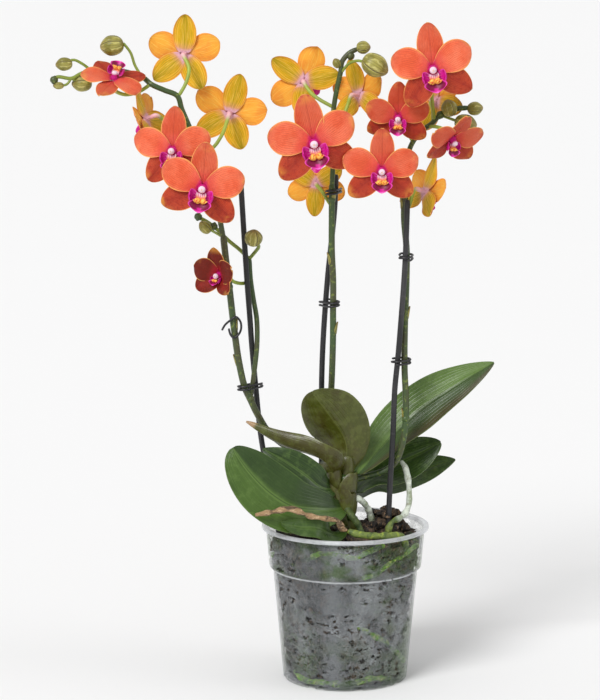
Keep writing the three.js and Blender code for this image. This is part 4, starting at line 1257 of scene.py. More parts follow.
def cane_finish(colours):
    """Charcoal coating with faint rings and scuffs."""
    paint = Paint("charcoal cane", colours)
    ring = paint.noise(240.0, paint.spot((0.3, 0.3, 1.6)), 3.0, 0.6)
    scuff = paint.noise(90.0, paint.spot((1.5, 1.5, 0.2)), 4.0, 0.65)
    colour = paint.over(
        "cane",
        (paint.ease(scuff, 0.5, 0.7, 0.5), "cane_worn"),
        (paint.ease(ring, 0.6, 0.72, 0.4), "cane_worn"),
    )
    return paint.done(colour, 0.5, ring, 0.0004)


def wire_finish(colours):
    """Dark coated wire with a little wear."""
    paint = Paint("coated wire", colours)
    wear = paint.noise(500.0, None, 3.0, 0.6)
    worn = paint.ease(wear, 0.55, 0.7, 0.5)
    colour = paint.over("wire", (worn, "cane_worn"))
    return paint.done(colour, 0.38, wear, 0.0001)


def root_finish(colours, name, skin, shade, light, grain, stretch=(1, 1, 1)):
    """A root's skin in the making: its colour, with painted shade for its hollows and painted light for its
    high parts, and grain.
    """
    paint = Paint(name, colours)
    cloud = paint.noise(130.0, paint.spot(stretch), 4.0, 0.65)
    fine = paint.noise(grain, paint.spot(stretch), 4.0, 0.7)
    colour = paint.over(
        skin,
        (paint.ease(cloud, 0.46, 0.57, 0.75), shade),
        (paint.ease(fine, 0.5, 0.62, 0.7), light),
    )
    return paint, colour, fine


def dry_root_finish(colours):
    """Dull tan skin with painted shade in its hollows and painted light on its pale wrinkles."""
    paint, colour, fine = root_finish(
        colours, "dry root", "dry_root", "bark", "dry_root_pale", 240.0, (0.7, 2, 2)
    )
    return paint.done(colour, 0.85, fine, 0.0025)


def pressed_root_finish(colours):
    """Roots pressed to the pot's wall: strong green with painted yellow highlights and dark broken edges."""
    paint = Paint("pressed root", colours)
    patches = paint.noise(80.0, None, 5.0, 0.65)
    fine = paint.noise(380.0, None, 4.0, 0.7)
    colour = paint.over(
        "pressed_root",
        # Painted yellow highlights, in the cream of the bud ribs.
        (paint.ease(fine, 0.5, 0.64, 0.45), "bud_rib"),
        (paint.ease(patches, 0.5, 0.58, 0.9), "leaf_dark"),
    )
    return paint.done(colour, 0.5, fine, 0.0006)


def living_root_finish(colours):
    """A living root's skin: silvery where it is dry, green where fresh and dark at the crown."""
    paint, colour, fine = root_finish(colours, "living root", "green_root", "stem", "stalk", 300.0)
    silver = paint.value("silver")
    patches = paint.noise(110.0, None, 5.0, 0.68)
    pale = paint.over(
        "silver_root",
        (paint.ease(patches, 0.5, 0.6, 0.55), "green_root"),
        (paint.ease(fine, 0.52, 0.66, 0.5), "bark_pale"),
        (paint.ease(patches, 0.46, 0.38, 0.7), "root_white"),
    )
    colour = paint.over(
        colour,
        (paint.ease(paint.plus(silver, paint.times(patches, 0.3)), 0.35, 0.75), pale),
        (paint.ease(silver, 0.0, -1.0, 0.75), "leaf_dark"),
    )
    return paint.done(colour, 0.55, paint.plus(fine, patches), 0.0007)


def petal_finish(colours):
    """Salmon to red brown with hot pink at the foot in front, golden with green lines behind."""
    paint = Paint("petal", colours)
    across, along = paint.across_along()
    edge = paint.edge(across)
    side, sepal, low = paint.value("side"), paint.value("sepal"), paint.value("low")
    tone = paint.value("tone")
    wander = paint.noise(95.0, None, 4.0, 0.6)
    cloud = paint.noise(62.0, None, 4.0, 0.62)
    spots = paint.noise(330.0, None, 4.0, 0.62)
    fleck = paint.noise(1.0, paint.pattern((70, 14, 1)), 3.0, 0.6)
    veins = paint.strands(across, 17.0, wander, 0.14)
    stripes = paint.strands(across, 11.0, wander, 0.12)
    net = paint.net(paint.pattern((13, 6, 1)), 1.6)
    shifted = paint.plus(along, paint.times(paint.minus(wander, 0.5), 0.16))
    outer = paint.ease(shifted, 0.72, 1.0)
    patch = paint.times(outer, paint.ease(cloud, 0.48, 0.6))
    # Rim is a painted highlight along the edges and the tip; glow is painted light towards the edges and the
    # outer end.
    rim = paint.most(paint.ease(edge, 0.93, 0.985), paint.ease(along, 0.97, 0.99))
    glow = paint.most(paint.ease(edge, 0.7, 1.0), outer)
    foot = paint.ease(shifted, 0.13, 0.03)
    flush = paint.ease(shifted, 0.45, 0.1)
    middle = paint.ease(edge, 0.6, 0.0)
    lines = paint.plus(0.26, paint.times(low, 0.3))
    front = paint.over(
        "petal",
        (paint.ease(cloud, 0.36, 0.64, 0.5), "petal_light"),
        (paint.times(glow, 0.4), "petal_light"),
        (paint.ease(edge, 0.8, 1.0, 0.3), "petal_tip"),
        (paint.times(sepal, paint.minus(1.0, low), 0.4), "sepal_low"),
        (paint.ease(cloud, 0.5, 0.34, 0.15), "petal_deep"),
        (paint.times(low, 0.8), "sepal_low"),
        (paint.math("MINIMUM", paint.times(tone, 0.75), 0.75), "petal_deep"),
        (paint.ease(tone, 1.0, 2.0), "petal_shade"),
        (paint.times(low, middle, 0.45), "sepal_shade"),
        (paint.times(flush, 0.5), "petal_flush"),
        (paint.ease(fleck, 0.5, 0.68, 0.12), "petal_deep"),
        (paint.times(paint.ease(spots, 0.5, 0.64), low, 0.55), "sepal_shade"),
        (paint.times(net, lines, 0.8), "petal_deep"),
        (paint.times(veins, paint.plus(lines, 0.08)), "petal_deep"),
        (paint.times(sepal, paint.ease(edge, 0.08, 0.0), 0.3), "sepal_shade"),
        (paint.times(patch, 0.6), "petal_tip"),
        (paint.times(rim, 0.75), "petal_rim"),
        (foot, "petal_foot"),
    )
    streak = paint.noise(1.0, paint.pattern((24, 1.6, 1)), 4.0, 0.6)
    behind = paint.over(
        "petal_back",
        (paint.ease(cloud, 0.42, 0.62, 0.45), "petal_back_red"),
        (paint.times(sepal, 0.9), "sepal_back"),
        (paint.times(sepal, paint.ease(edge, 0.55, 0.15), 0.45), "sepal_back_green"),
        (paint.times(sepal, paint.ease(streak, 0.5, 0.62), 0.6), "sepal_back_green"),
        (paint.times(sepal, low, outer, 0.5), "sepal_back_green"),
        (paint.times(sepal, stripes, 0.3), "sepal_back_green"),
        (paint.ease(streak, 0.5, 0.38, 0.5), "petal_back_light"),
        (paint.ease(edge, 0.6, 1.0, 0.35), "petal_back_red"),
        (paint.times(veins, 0.25), "petal_back_red"),
        (paint.times(rim, 0.6), "petal_rim"),
        (paint.ease(shifted, 0.3, 0.06, 0.4), "petal_back_foot"),
        (paint.ease(shifted, 0.14, 0.03), "stalk_tip"),
    )
    skin = paint.mix(side, front, behind)
    column = paint.over(
        "stalk_tip",
        (paint.ease(along, 0.3, 0.42), "column_pink"),
        (paint.ease(along, 0.62, 0.78), "column_white"),
        (paint.ease(along, 0.93, 1.0, 0.6), "callus"),
    )
    colour = paint.mix(paint.value("column"), skin, column)
    relief = paint.plus(paint.times(veins, -0.5), paint.times(wander, 0.7))
    relief = paint.minus(relief, paint.times(net, 0.2))
    return paint.done(colour, 0.45, relief, 0.0003, **{"Specular IOR Level": 0.2})


def lip_finish(colours):
    """Magenta side lobes, an orange throat, a yellow callus and a crimson middle with a pink rim."""
    paint = Paint("lip", colours)
    across, along = paint.across_along()
    edge = paint.edge(across)
    side = paint.value("side")
    throat, callus, middle = paint.value("throat"), paint.value("callus"), paint.value("middle")
    grain = paint.noise(520.0, None, 3.0, 0.6)
    rim = paint.most(paint.ease(edge, 0.78, 0.92), paint.ease(along, 0.72, 0.84))
    pale = paint.ease(along, 0.4, 0.05)
    lobe = paint.over(
        "lip",
        (paint.ease(grain, 0.5, 0.66, 0.5), "lip_deep"),
        (paint.times(pale, paint.strands(across, 5.0, grain, 0.1), 0.3), "column_white"),
        (paint.ease(edge, 0.78, 1.0, 0.6), "lip_rim"),
    )
    tongue = paint.times(paint.ease(edge, 0.3, 0.1), paint.ease(along, 0.5, 0.66))
    lit_rim = paint.most(paint.ease(along, 0.86, 0.95), paint.ease(edge, 0.92, 0.98))
    inside = (tongue, "lip"), (rim, "lip"), (lit_rim, "lip_rim")
    boat = paint.over("lip_dark", *inside)
    boat = paint.mix(side, boat, "lip")
    marks = paint.ease(paint.noise(760.0, None, 3.0, 0.6), 0.5, 0.58)
    plate = paint.over("callus", (marks, "callus_spot"))
    stripes = paint.strands(across, 5.0, grain, 0.08)
    passage = paint.over(
        "column_white",
        (paint.ease(along, 0.1, 0.6), "throat"),
        (stripes, "lip"),
    )
    colour = paint.over(lobe, (throat, passage), (middle, boat), (callus, plate))
    return paint.done(colour, 0.4, grain, 0.00012, **{"Specular IOR Level": 0.35})


def floor_finish():
    """Pale matt floor with faint clouds."""
    paint = Paint("pale floor")
    grain = paint.noise(3.0, None, 2.0, 0.5)
    colour = paint.over((0.9, 0.9, 0.9), (paint.times(grain, 0.12), (0.86, 0.86, 0.87)))
    return paint.done(colour, 0.85)


# Pot and bark


def pot_radius(z, inset=0):
    """The outer radius of the pot's wall at a height, less an inset."""
    if z < POT_STEP_HEIGHT:
        low, high, share = POT_BASE_RADIUS, POT_WAIST_RADIUS, z / POT_STEP_HEIGHT
    else:
        low, high = POT_COLLAR_RADIUS, POT_COLLAR_TOP_RADIUS
        share = (z - POT_STEP_HEIGHT) / (POT_HEIGHT - POT_LIP_HEIGHT - POT_STEP_HEIGHT)
    return mix(low, high, min(max(share, 0), 1)) - inset


def pot_profile(wall):
    """The pot's section from the middle of its base, up the outside, over the lip and down."""
    step, top = POT_STEP_HEIGHT, POT_HEIGHT
    outside = [(radius, POT_FOOT_RECESS) for radius in (0, 20, 38)]
    outside += [
        (POT_FOOT_RING, 0), (POT_BASE_RADIUS - 1.6, 0), (POT_BASE_RADIUS - 0.5, 0.3),
        (pot_radius(1), 1), (pot_radius(1.6), 1.6),
    ]
    outside += [(pot_radius(z), z) for z in range(6, step - 1, 5)]
    outside += [
        (POT_WAIST_RADIUS - 0.1, step - 0.8), (POT_WAIST_RADIUS, step), (POT_WAIST_RADIUS + 0.5, step + 0.5),
        (POT_COLLAR_RADIUS - 0.4, step + 0.9), (POT_COLLAR_RADIUS, step + 1.3),
        (POT_COLLAR_RADIUS + 0.1, step + 2),
    ]
    outside += [(pot_radius(z), z) for z in range(step + 5, top - 4, 5)]
    lip = [
        (POT_COLLAR_TOP_RADIUS, top - POT_LIP_HEIGHT), (POT_RIM_RADIUS - 0.8, top - POT_LIP_HEIGHT),
        (POT_RIM_RADIUS - 0.2, top - 2.3), (POT_RIM_RADIUS, top - 1.6), (POT_RIM_RADIUS, top - 0.8),
        (POT_RIM_RADIUS - 0.4, top - 0.2), (POT_RIM_RADIUS - 1, top), (POT_COLLAR_TOP_RADIUS + 0.2, top),
        (POT_COLLAR_TOP_RADIUS - wall + 0.2, top - 0.3), (POT_COLLAR_TOP_RADIUS - wall, top - 1),
    ]
    inside = [(radius - wall, z) for radius, z in reversed(outside) if z > 2]
    floor = [(radius, POT_FLOOR_TOP) for radius in (POT_BASE_RADIUS - 1.4, 38, 20, 0)]
    return outside + lip + inside + floor


def drain_slots():
    """Slots round the foot, as one cutter."""
    shape = Shape()
    half = Vector((DRAIN_SLOT["depth"], DRAIN_SLOT["width"], 2 * DRAIN_SLOT["height"])) / 2
    for k in range(DRAIN_SLOTS):
        turn = Matrix.Rotation((k + 0.25) / DRAIN_SLOTS * 2 * math.pi, 3, "Z")
        for x in (-1, 1):
            for y in (-1, 1):
                for z in (-1, 1):
                    corner = Vector((POT_BASE_RADIUS + x * half.x, y * half.y, z * half.z))
                    shape.places.append(turn @ corner)
                    shape.uvs.append((0, 0))
        corners = [(0, 1, 3, 2), (4, 6, 7, 5), (0, 4, 5, 1), (2, 3, 7, 6), (0, 2, 6, 4), (1, 5, 7, 3)]
        shape.faces += [[8 * k + c for c in face] for face in corners]
    return shape.mesh("drain slots")


def build_pot():
    shell = lathe(pot_profile(size_of("pot_wall")), POT_SEGMENTS).mesh("pot")
    blank = linked("pot blank", shell)
    cutter = linked("slot cutter", drain_slots())
    cut = blank.modifiers.new("drain slots", "BOOLEAN")
    cut.operation = "DIFFERENCE"
    cut.solver = "EXACT"
    cut.object = cutter
    mesh = baked(blank, "clear pot")
    bpy.data.objects.remove(cutter)
    mesh.shade_smooth()
    mesh.set_sharp_from_angle(angle=40 * DEGREE)
    added("nursery_pot", mesh, finish(pot_finish), "pot_plastic", "pot")


def heap_height(x, y):
    """The height of the bark's surface: a mound, and a ridge at the right."""
    mound = size_of("mound") * (1 - ease(MOUND["flat"], MOUND["foot"], math.hypot(x, y)))
    off_ridge = math.hypot(x - RIDGE["x"], y - RIDGE["y"])
    ridge = RIDGE["rise"] * (1 - ease(RIDGE["flat"], RIDGE["foot"], off_ridge))
    return MIX_TOP + max(mound, ridge) + 1.2 * noise.noise(Vector((0.13 * x, 0.13 * y, 2)))


def bark_core():
    """The dark mass behind the chunks. The rows of its profile at height 0 follow the heap."""
    profile = [(0, 2.4), (30, 2.4), (pot_radius(2.4, CORE_INSET), 2.6)]
    profile += [(pot_radius(z, CORE_INSET), z) for z in range(8, 94, 6)]
    profile += [(radius, 0) for radius in range(48, 0, -3)] + [(0, 0)]
    shape = lathe(profile, CORE_SIDES)
    for k, place in enumerate(shape.places):
        radius, height = profile[k // CORE_SIDES]
        if height == 0:
            place.z = heap_height(place.x, place.y) - 2.5
        if radius:
            shift = noise.noise(place * 0.14) * 2.2
            place += Vector((place.x, place.y, 0)).normalized() * (shift - 1.2)
    return shape


def chunk(seed):
    """One craggy bark piece about one unit across, with broken flat faces."""
    made = bpy.data.meshes.new(f"bark chunk {seed}")
    work = bmesh.new()
    bmesh.ops.create_cube(work, size=1)
    bmesh.ops.subdivide_edges(work, edges=work.edges, cuts=4, use_grid_fill=True)
    shift = Vector((7.3 * seed, 2.1 * seed, 4.7 * seed))
    draw = random_stream(seed)
    breaks = []
    for _ in range(CHUNK_BREAKS):
        facing = Vector((draw() - 0.5, draw() - 0.5, draw() - 0.5)).normalized()
        breaks.append((facing, 0.3 + 0.12 * draw()))
    for corner in work.verts:
        place = corner.co.lerp(corner.co.normalized() * 0.62, 0.3)
        place += noise.noise_vector(place * 1.7 + shift) * 0.15
        for facing, far in breaks:
            place -= facing * max(place.dot(facing) - far, 0)
        corner.co = place + noise.noise_vector(place * 6 + shift) * 0.05
    bmesh.ops.triangulate(work, faces=work.faces)
    bmesh.ops.recalc_face_normals(work, faces=work.faces)
    work.to_mesh(made)
    work.free()
    return made


def chunk_set():
    """The bark pieces to scatter, in a collection of their own. The seed keeps their noise the same."""
    noise.seed_set(CHUNK_SEED)
    shapes = bpy.data.collections.new("bark chunks")
    for seed in range(CHUNK_SHAPES):
        shapes.objects.link(bpy.data.objects.new(f"bark chunk {seed}", chunk(seed + 1)))
    return shapes


def drawn(draw, ranges):
    """One size for each least and what a draw adds to it."""
    return [least + spread * draw() for least, spread in ranges]


def wall_places(draw):
    """Bark pieces that lie flat to the pot's wall in staggered rows: place, turn and size of each."""
    count = bpy.context.scene.orchid_sizes.wall_chunks
    for row in range(CHUNK_ROWS):
        for k in range(count):
            z = 7 + (MIX_TOP - 8) * (row + 0.6 * (draw() - 0.5)) / (CHUNK_ROWS - 1)
            angle = 2 * math.pi * (k + row % 2 / 2 + 0.5 * (draw() - 0.5)) / count
            long, wide, thin = drawn(draw, WALL_CHUNK)
            z = max(z, long / 2 + 2.4)
            inner = pot_radius(z - min(wide / 2, 5), size_of("pot_wall"))
            far = inner - 0.6 - thin / 2 - long**2 / (8 * inner)
            place = (far * math.cos(angle), far * math.sin(angle), z)
            yield place, (draw() * math.pi, 5 * DEGREE, angle), (thin, long, wide)


def heap_places(draw):
    """Bark pieces heaped on top: place, turn and size of each."""
    count = bpy.context.scene.orchid_sizes.heap_chunks
    for k in range(count):
        far, angle = 50 * math.sqrt((k + 0.5) / count), 2.4 * k
        x, y = far * math.cos(angle), far * math.sin(angle)
        place = (x, y, heap_height(x, y) - 0.5 + 2 * draw())
        turn = (0.9 * (draw() - 0.5), 0.9 * (draw() - 0.5), 2 * math.pi * draw())
        yield place, turn, drawn(draw, HEAP_CHUNK)


def scattered_chunks(bark):
    """Every loose bark piece, as one mesh."""
    draw = random_stream(LAYING_SEED)
    laid = [*wall_places(draw), *heap_places(draw)]
    turns = [part for _, turn, _ in laid for part in turn]
    sizes = [side * MM for _, _, size in laid for side in size]
    points = bpy.data.meshes.new("bark places")
    points.from_pydata([Vector(place) * MM for place, _, _ in laid], [], [])
    for kind, parts in (("turn", turns), ("size", sizes)):
        points.attributes.new(kind, "FLOAT_VECTOR", "POINT").data.foreach_set("vector", parts)
    return grown("bark pieces", points, TREES["chunks"], Chunks=chunk_set(), Finish=bark)


def wall_root_lines():
    """The roots that press against the pot's wall."""
    lines = Lines("silver")
    for seed, root in enumerate(WALL_ROOTS):
        bend = through([wall_place(*spot, root["radius"]) for spot in root["places"]])
        lines.add(bend, knobby(root["radius"], seed, 0.3), 0.6)
    return lines


def build_bark():
    bark, green = finish(bark_finish), finish(pressed_root_finish)
    added("bark_chunks", scattered_chunks(bark), bark, "bark")
    added("bark_bed", bark_core().mesh("bark bed"), bark, "bark", "bark_mix")
    added("wall_roots", rods("wall roots", wall_root_lines(), green, 14), green, "silver_root")


def wall_place(angle, z, radius):
    """A place on the inside of the pot's wall: degrees from the front towards +X, and a height."""
    far = pot_radius(z, size_of("pot_wall")) - radius - 0.2
    return (far * math.sin(angle * DEGREE), -far * math.cos(angle * DEGREE), z)


def knobby(radius, seed, amount):
    """A radius that swells and shrinks along a root."""
    return lambda t: radius * (1 + amount * 2 * noise.noise(Vector((seed * 7.7, 14 * t, 0))))


# Crown, leaves and roots


def crown_profile():
    """The crown's section: a slightly ringed cone."""
    foot, top = CROWN["foot"], CROWN["top"]
    profile = [(0.3, foot)]
    for k in range(25):
        share = k / 24
        wide = mix(CROWN["foot_radius"], CROWN["top_radius"], share) - 0.8
        wide += 0.5 * math.sin(9 * math.pi * share)
        profile.append((wide, mix(foot + 0.5, top - 1.5, share)))
    return profile + [(CROWN["top_radius"] - 3, top - 0.4), (0.3, top)]


def add_sheath(shape, axis, height, angle):
    """The rest of an old leaf that clasps the crown."""
    out = Vector((math.cos(angle * DEGREE), math.sin(angle * DEGREE), 0))
    base = axis + Vector((0, 0, height))
    middle, end = out * 8.2 + Vector((0, 0, 8)), out * 8.8 + Vector((0, 0, 17))
    path = arc(base + out * 6.4, base + middle, base + end)
    half = lambda t: 12 * math.sin(math.pi * (0.3 + 0.62 * t)) ** 0.6
    add_blade(shape, path, lambda t: -out, half, lambda t: 75 * DEGREE, 1.2, 12, 16)


def add_leaf_foot(shape, points, wide):
    """The foot of a leaf, folded down to the crown."""
    half = lambda t: wide * math.sin(math.pi * (0.25 + 0.6 * t))
    add_blade(shape, through(points), lambda t: Vector((0, 1, 0)), half, lambda t: 1.2, 1.4, 12, 12)


def build_crown():
    stem, root = finish(leaf_finish), finish(living_root_finish)
    axis = Vector((CROWN["x"], CROWN["y"], 0))
    shape = Shape("side", "dry")
    add_turned(shape, axis, (0, 0, 1), crown_profile(), 32)
    for height, angle in SHEATHS:
        add_sheath(shape, axis, height, angle)
    for points, wide in LEAF_FEET:
        add_leaf_foot(shape, points, wide)
    added("crown_stem", shape.mesh("crown stem"), stem, "crown_skin", "crown")
    lines = Lines("silver")
    for k, given in enumerate(CROWN_ROOTS):
        lines.add(through(given["points"]), knobby(given["radius"], k, 0.16), silver=given["silver"])
    added("crown_roots", rods("crown roots", lines, root), root, "silver_root")


def between(values, t, mixing):
    """A value that moves through three given ones along a leaf."""
    return mixing(values[0], values[1], 2 * t) if t < 0.5 else mixing(values[1], values[2], 2 * t - 1)


def leaf_shape(leaf, seed):
    wave_seed = 3.7 * seed
    half_width = outline(leaf["width"], **leaf["shape"])
    facing = [Vector(given) for given in leaf["facing"]]

    def wave(t, s):
        groove = -1.0 * bell(s, 0, 0.08) * ease(0, 0.1, t) * (1 - ease(0.85, 1, t))
        swell = 0.9 * noise.noise(Vector((wave_seed, 2.2 * t, 0.9 * s)))
        ripple = 0.5 * s * s * math.sin(15 * t + wave_seed)
        return groove + (swell + ripple) * ease(0, 0.3, t)

    turned = lambda t: between(facing, t, lambda a, b, share: a.lerp(b, share))
    cup = lambda t: between(leaf["cup"], t, mix) * DEGREE
    shape = Shape("side", "dry", "light", "shaded")
    add_blade(
        shape, through(leaf["midrib"]), turned, half_width, cup, size_of("leaf"), 44, 22, wave,
        dry=leaf["dry"], light=leaf["light"], shaded=leaf["shaded"],
    )
    return shape


def build_leaves():
    skin = finish(leaf_finish)
    for seed, leaf in enumerate(LEAVES):
        leaf, name = PLAIN_LEAF | leaf, leaf["name"]
        mesh = leaf_shape(leaf, seed + 1).mesh(name)
        added(f"{name}_blade", mesh, skin, leaf["slot"], name)


def build_roots():
    for seed, (name, root) in enumerate(ROOTS.items()):
        slot, silver = root["slot"], root.get("silver", 0)
        skin = finish(dry_root_finish if slot == "dry_root" else living_root_finish)
        lines = Lines("silver")
        girth = knobby(root["radius"], seed + 2, root["knobs"])
        lines.add(through(root["points"]), girth, 0.8, silver=lambda t: silver * (1 - ease(0.55, 0.8, t)))
        added(f"{name}_skin", rods(name, lines, skin, 14), skin, slot, name)


# Spikes, stakes and clips


def bloom_frame(bloom):
    """The bloom's own frame: x to the right, y to the top sepal, z to the face."""
    yaw, pitch = bloom["yaw"] * DEGREE, bloom["pitch"] * DEGREE
    face = Vector((math.sin(yaw) * math.cos(pitch), -math.cos(yaw) * math.cos(pitch), math.sin(pitch)))
    top = Vector(bloom["top"])
    up = (top - face * top.dot(face)).normalized()
    return Matrix.Translation(bloom["at"]) @ Matrix((up.cross(face), up, face)).transposed().to_4x4()


def stalk_path(bloom):
    """From the stem to just behind the bloom's centre."""
    placed = bloom_frame(bloom)
    back = BLOOM_BACK * bloom["size"] - 0.3
    return through([*bloom["stalk"], placed @ Vector((0, 0, back - 4)), placed @ Vector((0, 0, back + 1))])


def add_bud(shape, bud):
    """A pointed bud with three seams and low ribs."""
    long, wide = bud["long"], bud["wide"]

    def seams(t, turn):
        seam = abs(math.cos(3 * math.pi * turn))
        ribs = 0.02 * math.cos(18 * math.pi * turn) * math.sin(math.pi * t)
        return ribs - 0.08 * (1 - ease(0, 0.3, seam)) * math.sin(math.pi * t) - 0.42 * ease(0.55, 1, t)

    add_turned(shape, bud["at"], bud["along"], egg_profile(long, wide, 0.8, 18), 54, seams)


def add_bract(shape, stem, height, angle):
    """A small sheath that clasps the stem at a joint."""
    path = through(stem["points"])
    share = min((k / 200 for k in range(201)), key=lambda s: abs(path.at(s).z - height))
    place, along = path.at(share), path.along(share)
    out = Vector((math.cos(angle * DEGREE), math.sin(angle * DEGREE), 0))
    out = (out - along * out.dot(along)).normalized()
    foot = place + out * (stem["radius"] + 0.1) - along * 2
    bend = arc(foot, foot + along * 5 + out * 0.4, foot + along * 9 + out * 1.2)
    wide = lambda t: 3.1 * math.sin(math.pi * (0.16 + 0.8 * t)) ** 0.7
    add_blade(shape, bend, lambda t: -out, wide, lambda t: 80 * DEGREE, 0.5, 8, 8)


def add_stalk(lines, bloom):
    """A bloom's stalk, a little thicker and pale towards the bloom."""
    thick = size_of("stalk")
    girth = lambda t: thick * (1 + 0.25 * ease(0.6, 1, t))
    lines.add(stalk_path(bloom), girth, 1.0, blush=lambda t: 0.35 + 0.65 * ease(0.35, 0.95, t))


def add_joint(lines, place):
    """A short swelling of the stem."""
    middle = Vector(place)
    ring = Path([middle + Vector((0.9, 0, 3)) * (k / 12 - 0.5) * 2 for k in range(13)])
    lines.add(ring, lambda t: 1.2 + 1.7 * math.sin(math.pi * t) ** 0.8, 0.5, blush=0.1)


def build_spikes():
    green, skin = finish(stem_finish), finish(bud_finish)
    for name, spike in SPIKES.items():
        lines = Lines("blush")
        for stem in spike["stems"]:
            thin = stem["radius"] < 1.5
            lines.add(through(stem["points"]), stem["radius"], blush=0.3 if thin else 0.0)
        for bloom in BLOOMS:
            if bloom["spike"] == name:
                add_stalk(lines, PLAIN_BLOOM | bloom)
        for place in spike["joints"]:
            add_joint(lines, place)
        added(f"{name}_stems", rods(name, lines, green, 14), green, "stem", name)
        shape = Shape("side")
        for bud in spike["buds"]:
            add_bud(shape, bud)
        for height, angle in spike["bracts"]:
            add_bract(shape, spike["stems"][0], height, angle)
        added(f"{name}_buds", shape.mesh(f"{name} buds"), skin, "stem")


def build_stakes():
    coat = finish(cane_finish)
    for name, points in STAKES.items():
        lines = Lines()
        lines.add(through(points), size_of("stake"), 3)
        added(f"{name}_cane", rods(name, lines, coat, 16), coat, "stake_cane", name)


def at_height(points, z):
    """The place on a stem or stake that is nearest to a height."""
    return min(through(points).places, key=lambda place: abs(place.z - z))


def clip_path(clip):
    """Open turns round a stem and its stake, half a circle about each, unless its line is given."""
    if "line" in clip:
        return through(clip["line"])
    stem = SPIKES[clip["stem"]]["stems"][0]
    near = at_height(stem["points"], clip["z"])
    far = at_height(STAKES[clip["stake"]], clip["z"])
    away = math.atan2(far.y - near.y, far.x - near.x)
    radius = stem["radius"] + CLIP_GAP + CLIP_WIRE + clip.get("loose", 0)
    steps = round(CLIP_STEPS * CLIP_TURNS)
    start = math.pi / 7
    places = []
    for k in range(steps + 1):
        angle = start + k / CLIP_STEPS * 2 * math.pi
        centre = far if math.cos(angle) > 0 else near
        turn = angle + away
        z = clip["z"] + CLIP_RISE * (k / steps - 0.5)
        places.append((centre.x + radius * math.cos(turn), centre.y + radius * math.sin(turn), z))
    return through(places, 4)


def build_clips():
    metal = finish(wire_finish)
    for name, clip in CLIPS.items():
        lines = Lines()
        lines.add(clip_path(clip), size_of("wire"), 0.6)
        added(f"{name}_wire", rods(name, lines, metal, 10), metal, "clip_wire", name)


# Blooms


def add_tepal(shape, turn, foot, length, width, tilt, bend, seed, layer, cup, outlined, **values):
    """One petal or sepal in the bloom's frame, at an angle clockwise from the top."""
    out = Vector((math.sin(turn), math.cos(turn), 0))
    rise = math.sin(tilt)
    reach = length * math.cos(tilt)
    lifted = lambda distance, height: out * distance + Vector((0, 0, layer + height))
    half_width = outline(width, **outlined)
    size = length / BLOOM_SPAN_RADIUS

    def wave(t, s):
        ruffle = 0.8 * s * s * math.sin(7 * t + 2.3 * seed + 1.5 * s)
        furrow = -0.35 * bell(s, 0, 0.12) * (1 - ease(0.6, 1, t))
        curl = -1.1 * abs(s) ** 3 * ease(0.3, 0.9, t)
        swell = 0.9 * noise.noise(Vector((1.9 * seed, 2.4 * t, 1.3 * s)))
        return size * (ruffle + furrow + curl + swell) * ease(0, 0.35, t)

    middle = lifted(0.5 * reach, 0.5 * length * rise)
    end = lifted(reach, length * (rise + math.sin(bend)))
    path, facing = arc(lifted(foot, 0), middle, end), lambda t: Vector((0, 0, 1))
    add_blade(shape, path, facing, half_width, lambda t: cup, size_of("tepal"), 24, 18, wave, **values)


def bloom_head(bloom, seed):
    """Three sepals, two petals and the column, in the bloom's own frame."""
    draw = random_stream(seed)
    vary = lambda amount: (draw() - 0.5) * 2 * amount
    size, closed, tone = bloom["size"], bloom["closed"], bloom["tone"]
    full = size_of("bloom") * size
    left, right = bloom["low"]
    shape = Shape("side", "sepal", "low", "column", "tone")
    for turn, long, wide in ((0, 1.06, 0.62), (left, 1.0, 0.65), (right, 1.0, 0.65)):
        turned, length = (turn + vary(4)) * DEGREE, full * long * (1 + vary(0.03))
        tilt, bend = (closed + vary(3)) * DEGREE, (-7 - closed / 4 + vary(4)) * DEGREE
        low = 0.0 if turn == 0 else 1.0
        add_tepal(
            shape, turned, TEPAL_FOOT * size, length, full * wide, tilt, bend, seed + turn,
            **SEPAL, sepal=1.0, low=low, tone=tone,
        )
    for turn in (PETAL_TURN, -PETAL_TURN):
        turned, length = (turn + vary(3)) * DEGREE, full * (1 + vary(0.03))
        tilt, bend = (closed + 3 + vary(3)) * DEGREE, (-9 - closed / 4 + vary(4)) * DEGREE
        add_tepal(
            shape, turned, TEPAL_FOOT * size, length, full * 0.74, tilt, bend, seed + turn,
            **PETAL, tone=tone,
        )
    profile = [(radius * size, far * size) for radius, far in COLUMN]
    add_turned(shape, (0, 0, 0), (0, -0.1, 1), profile, 20, column=1.0)
    return shape.moved(bloom_frame(bloom))


def add_side_lobes(shape):
    for x in (-1, 1):
        root, out = Vector((2.4 * x, -7, 3.2)), Vector((11 * x, -6.6, 4.6))
        tip = Vector((8.4 * x, -6.4, 11.5))
        half = lambda t: 6 * math.sin(math.pi * (0.12 + 0.84 * t)) ** 0.75
        facing = lambda t: Vector((-x * mix(0.3, 1, t), 0.1, mix(1, 0.2, t)))
        add_blade(shape, arc(root, out, tip), facing, half, lambda t: 0.5, 0.8, 16, 14)


def add_throat(shape):
    path = arc(Vector((0, -4, 3.4)), Vector((0, -7, 6.0)), Vector((0, -10.5, 7.6)))
    facing, half = lambda t: Vector((0, 1, 0.6)), outline(9, 0.5, 0.5, 0.5)
    add_blade(shape, path, facing, half, lambda t: 1.0, 0.9, 10, 10, throat=1.0)


def add_callus(shape):
    """Two round bumps at the end of the throat, each with a small horn."""
    for x in (-1, 1):
        bump = egg_profile(3.2, 2.3, 0.9, 10)
        add_turned(shape, (2 * x, -9.2, 8.4), (0.4 * x, 0.3, 1), bump, 16, callus=1.0)
        horn = [(0.2, -0.4), (0.9, 0), (0.7, 1.4), (0.35, 2.6), (0.1, 3)]
        add_turned(shape, (3.3 * x, -10.2, 9.6), (0.7 * x, 0.5, 0.5), horn, 10, callus=1.0)


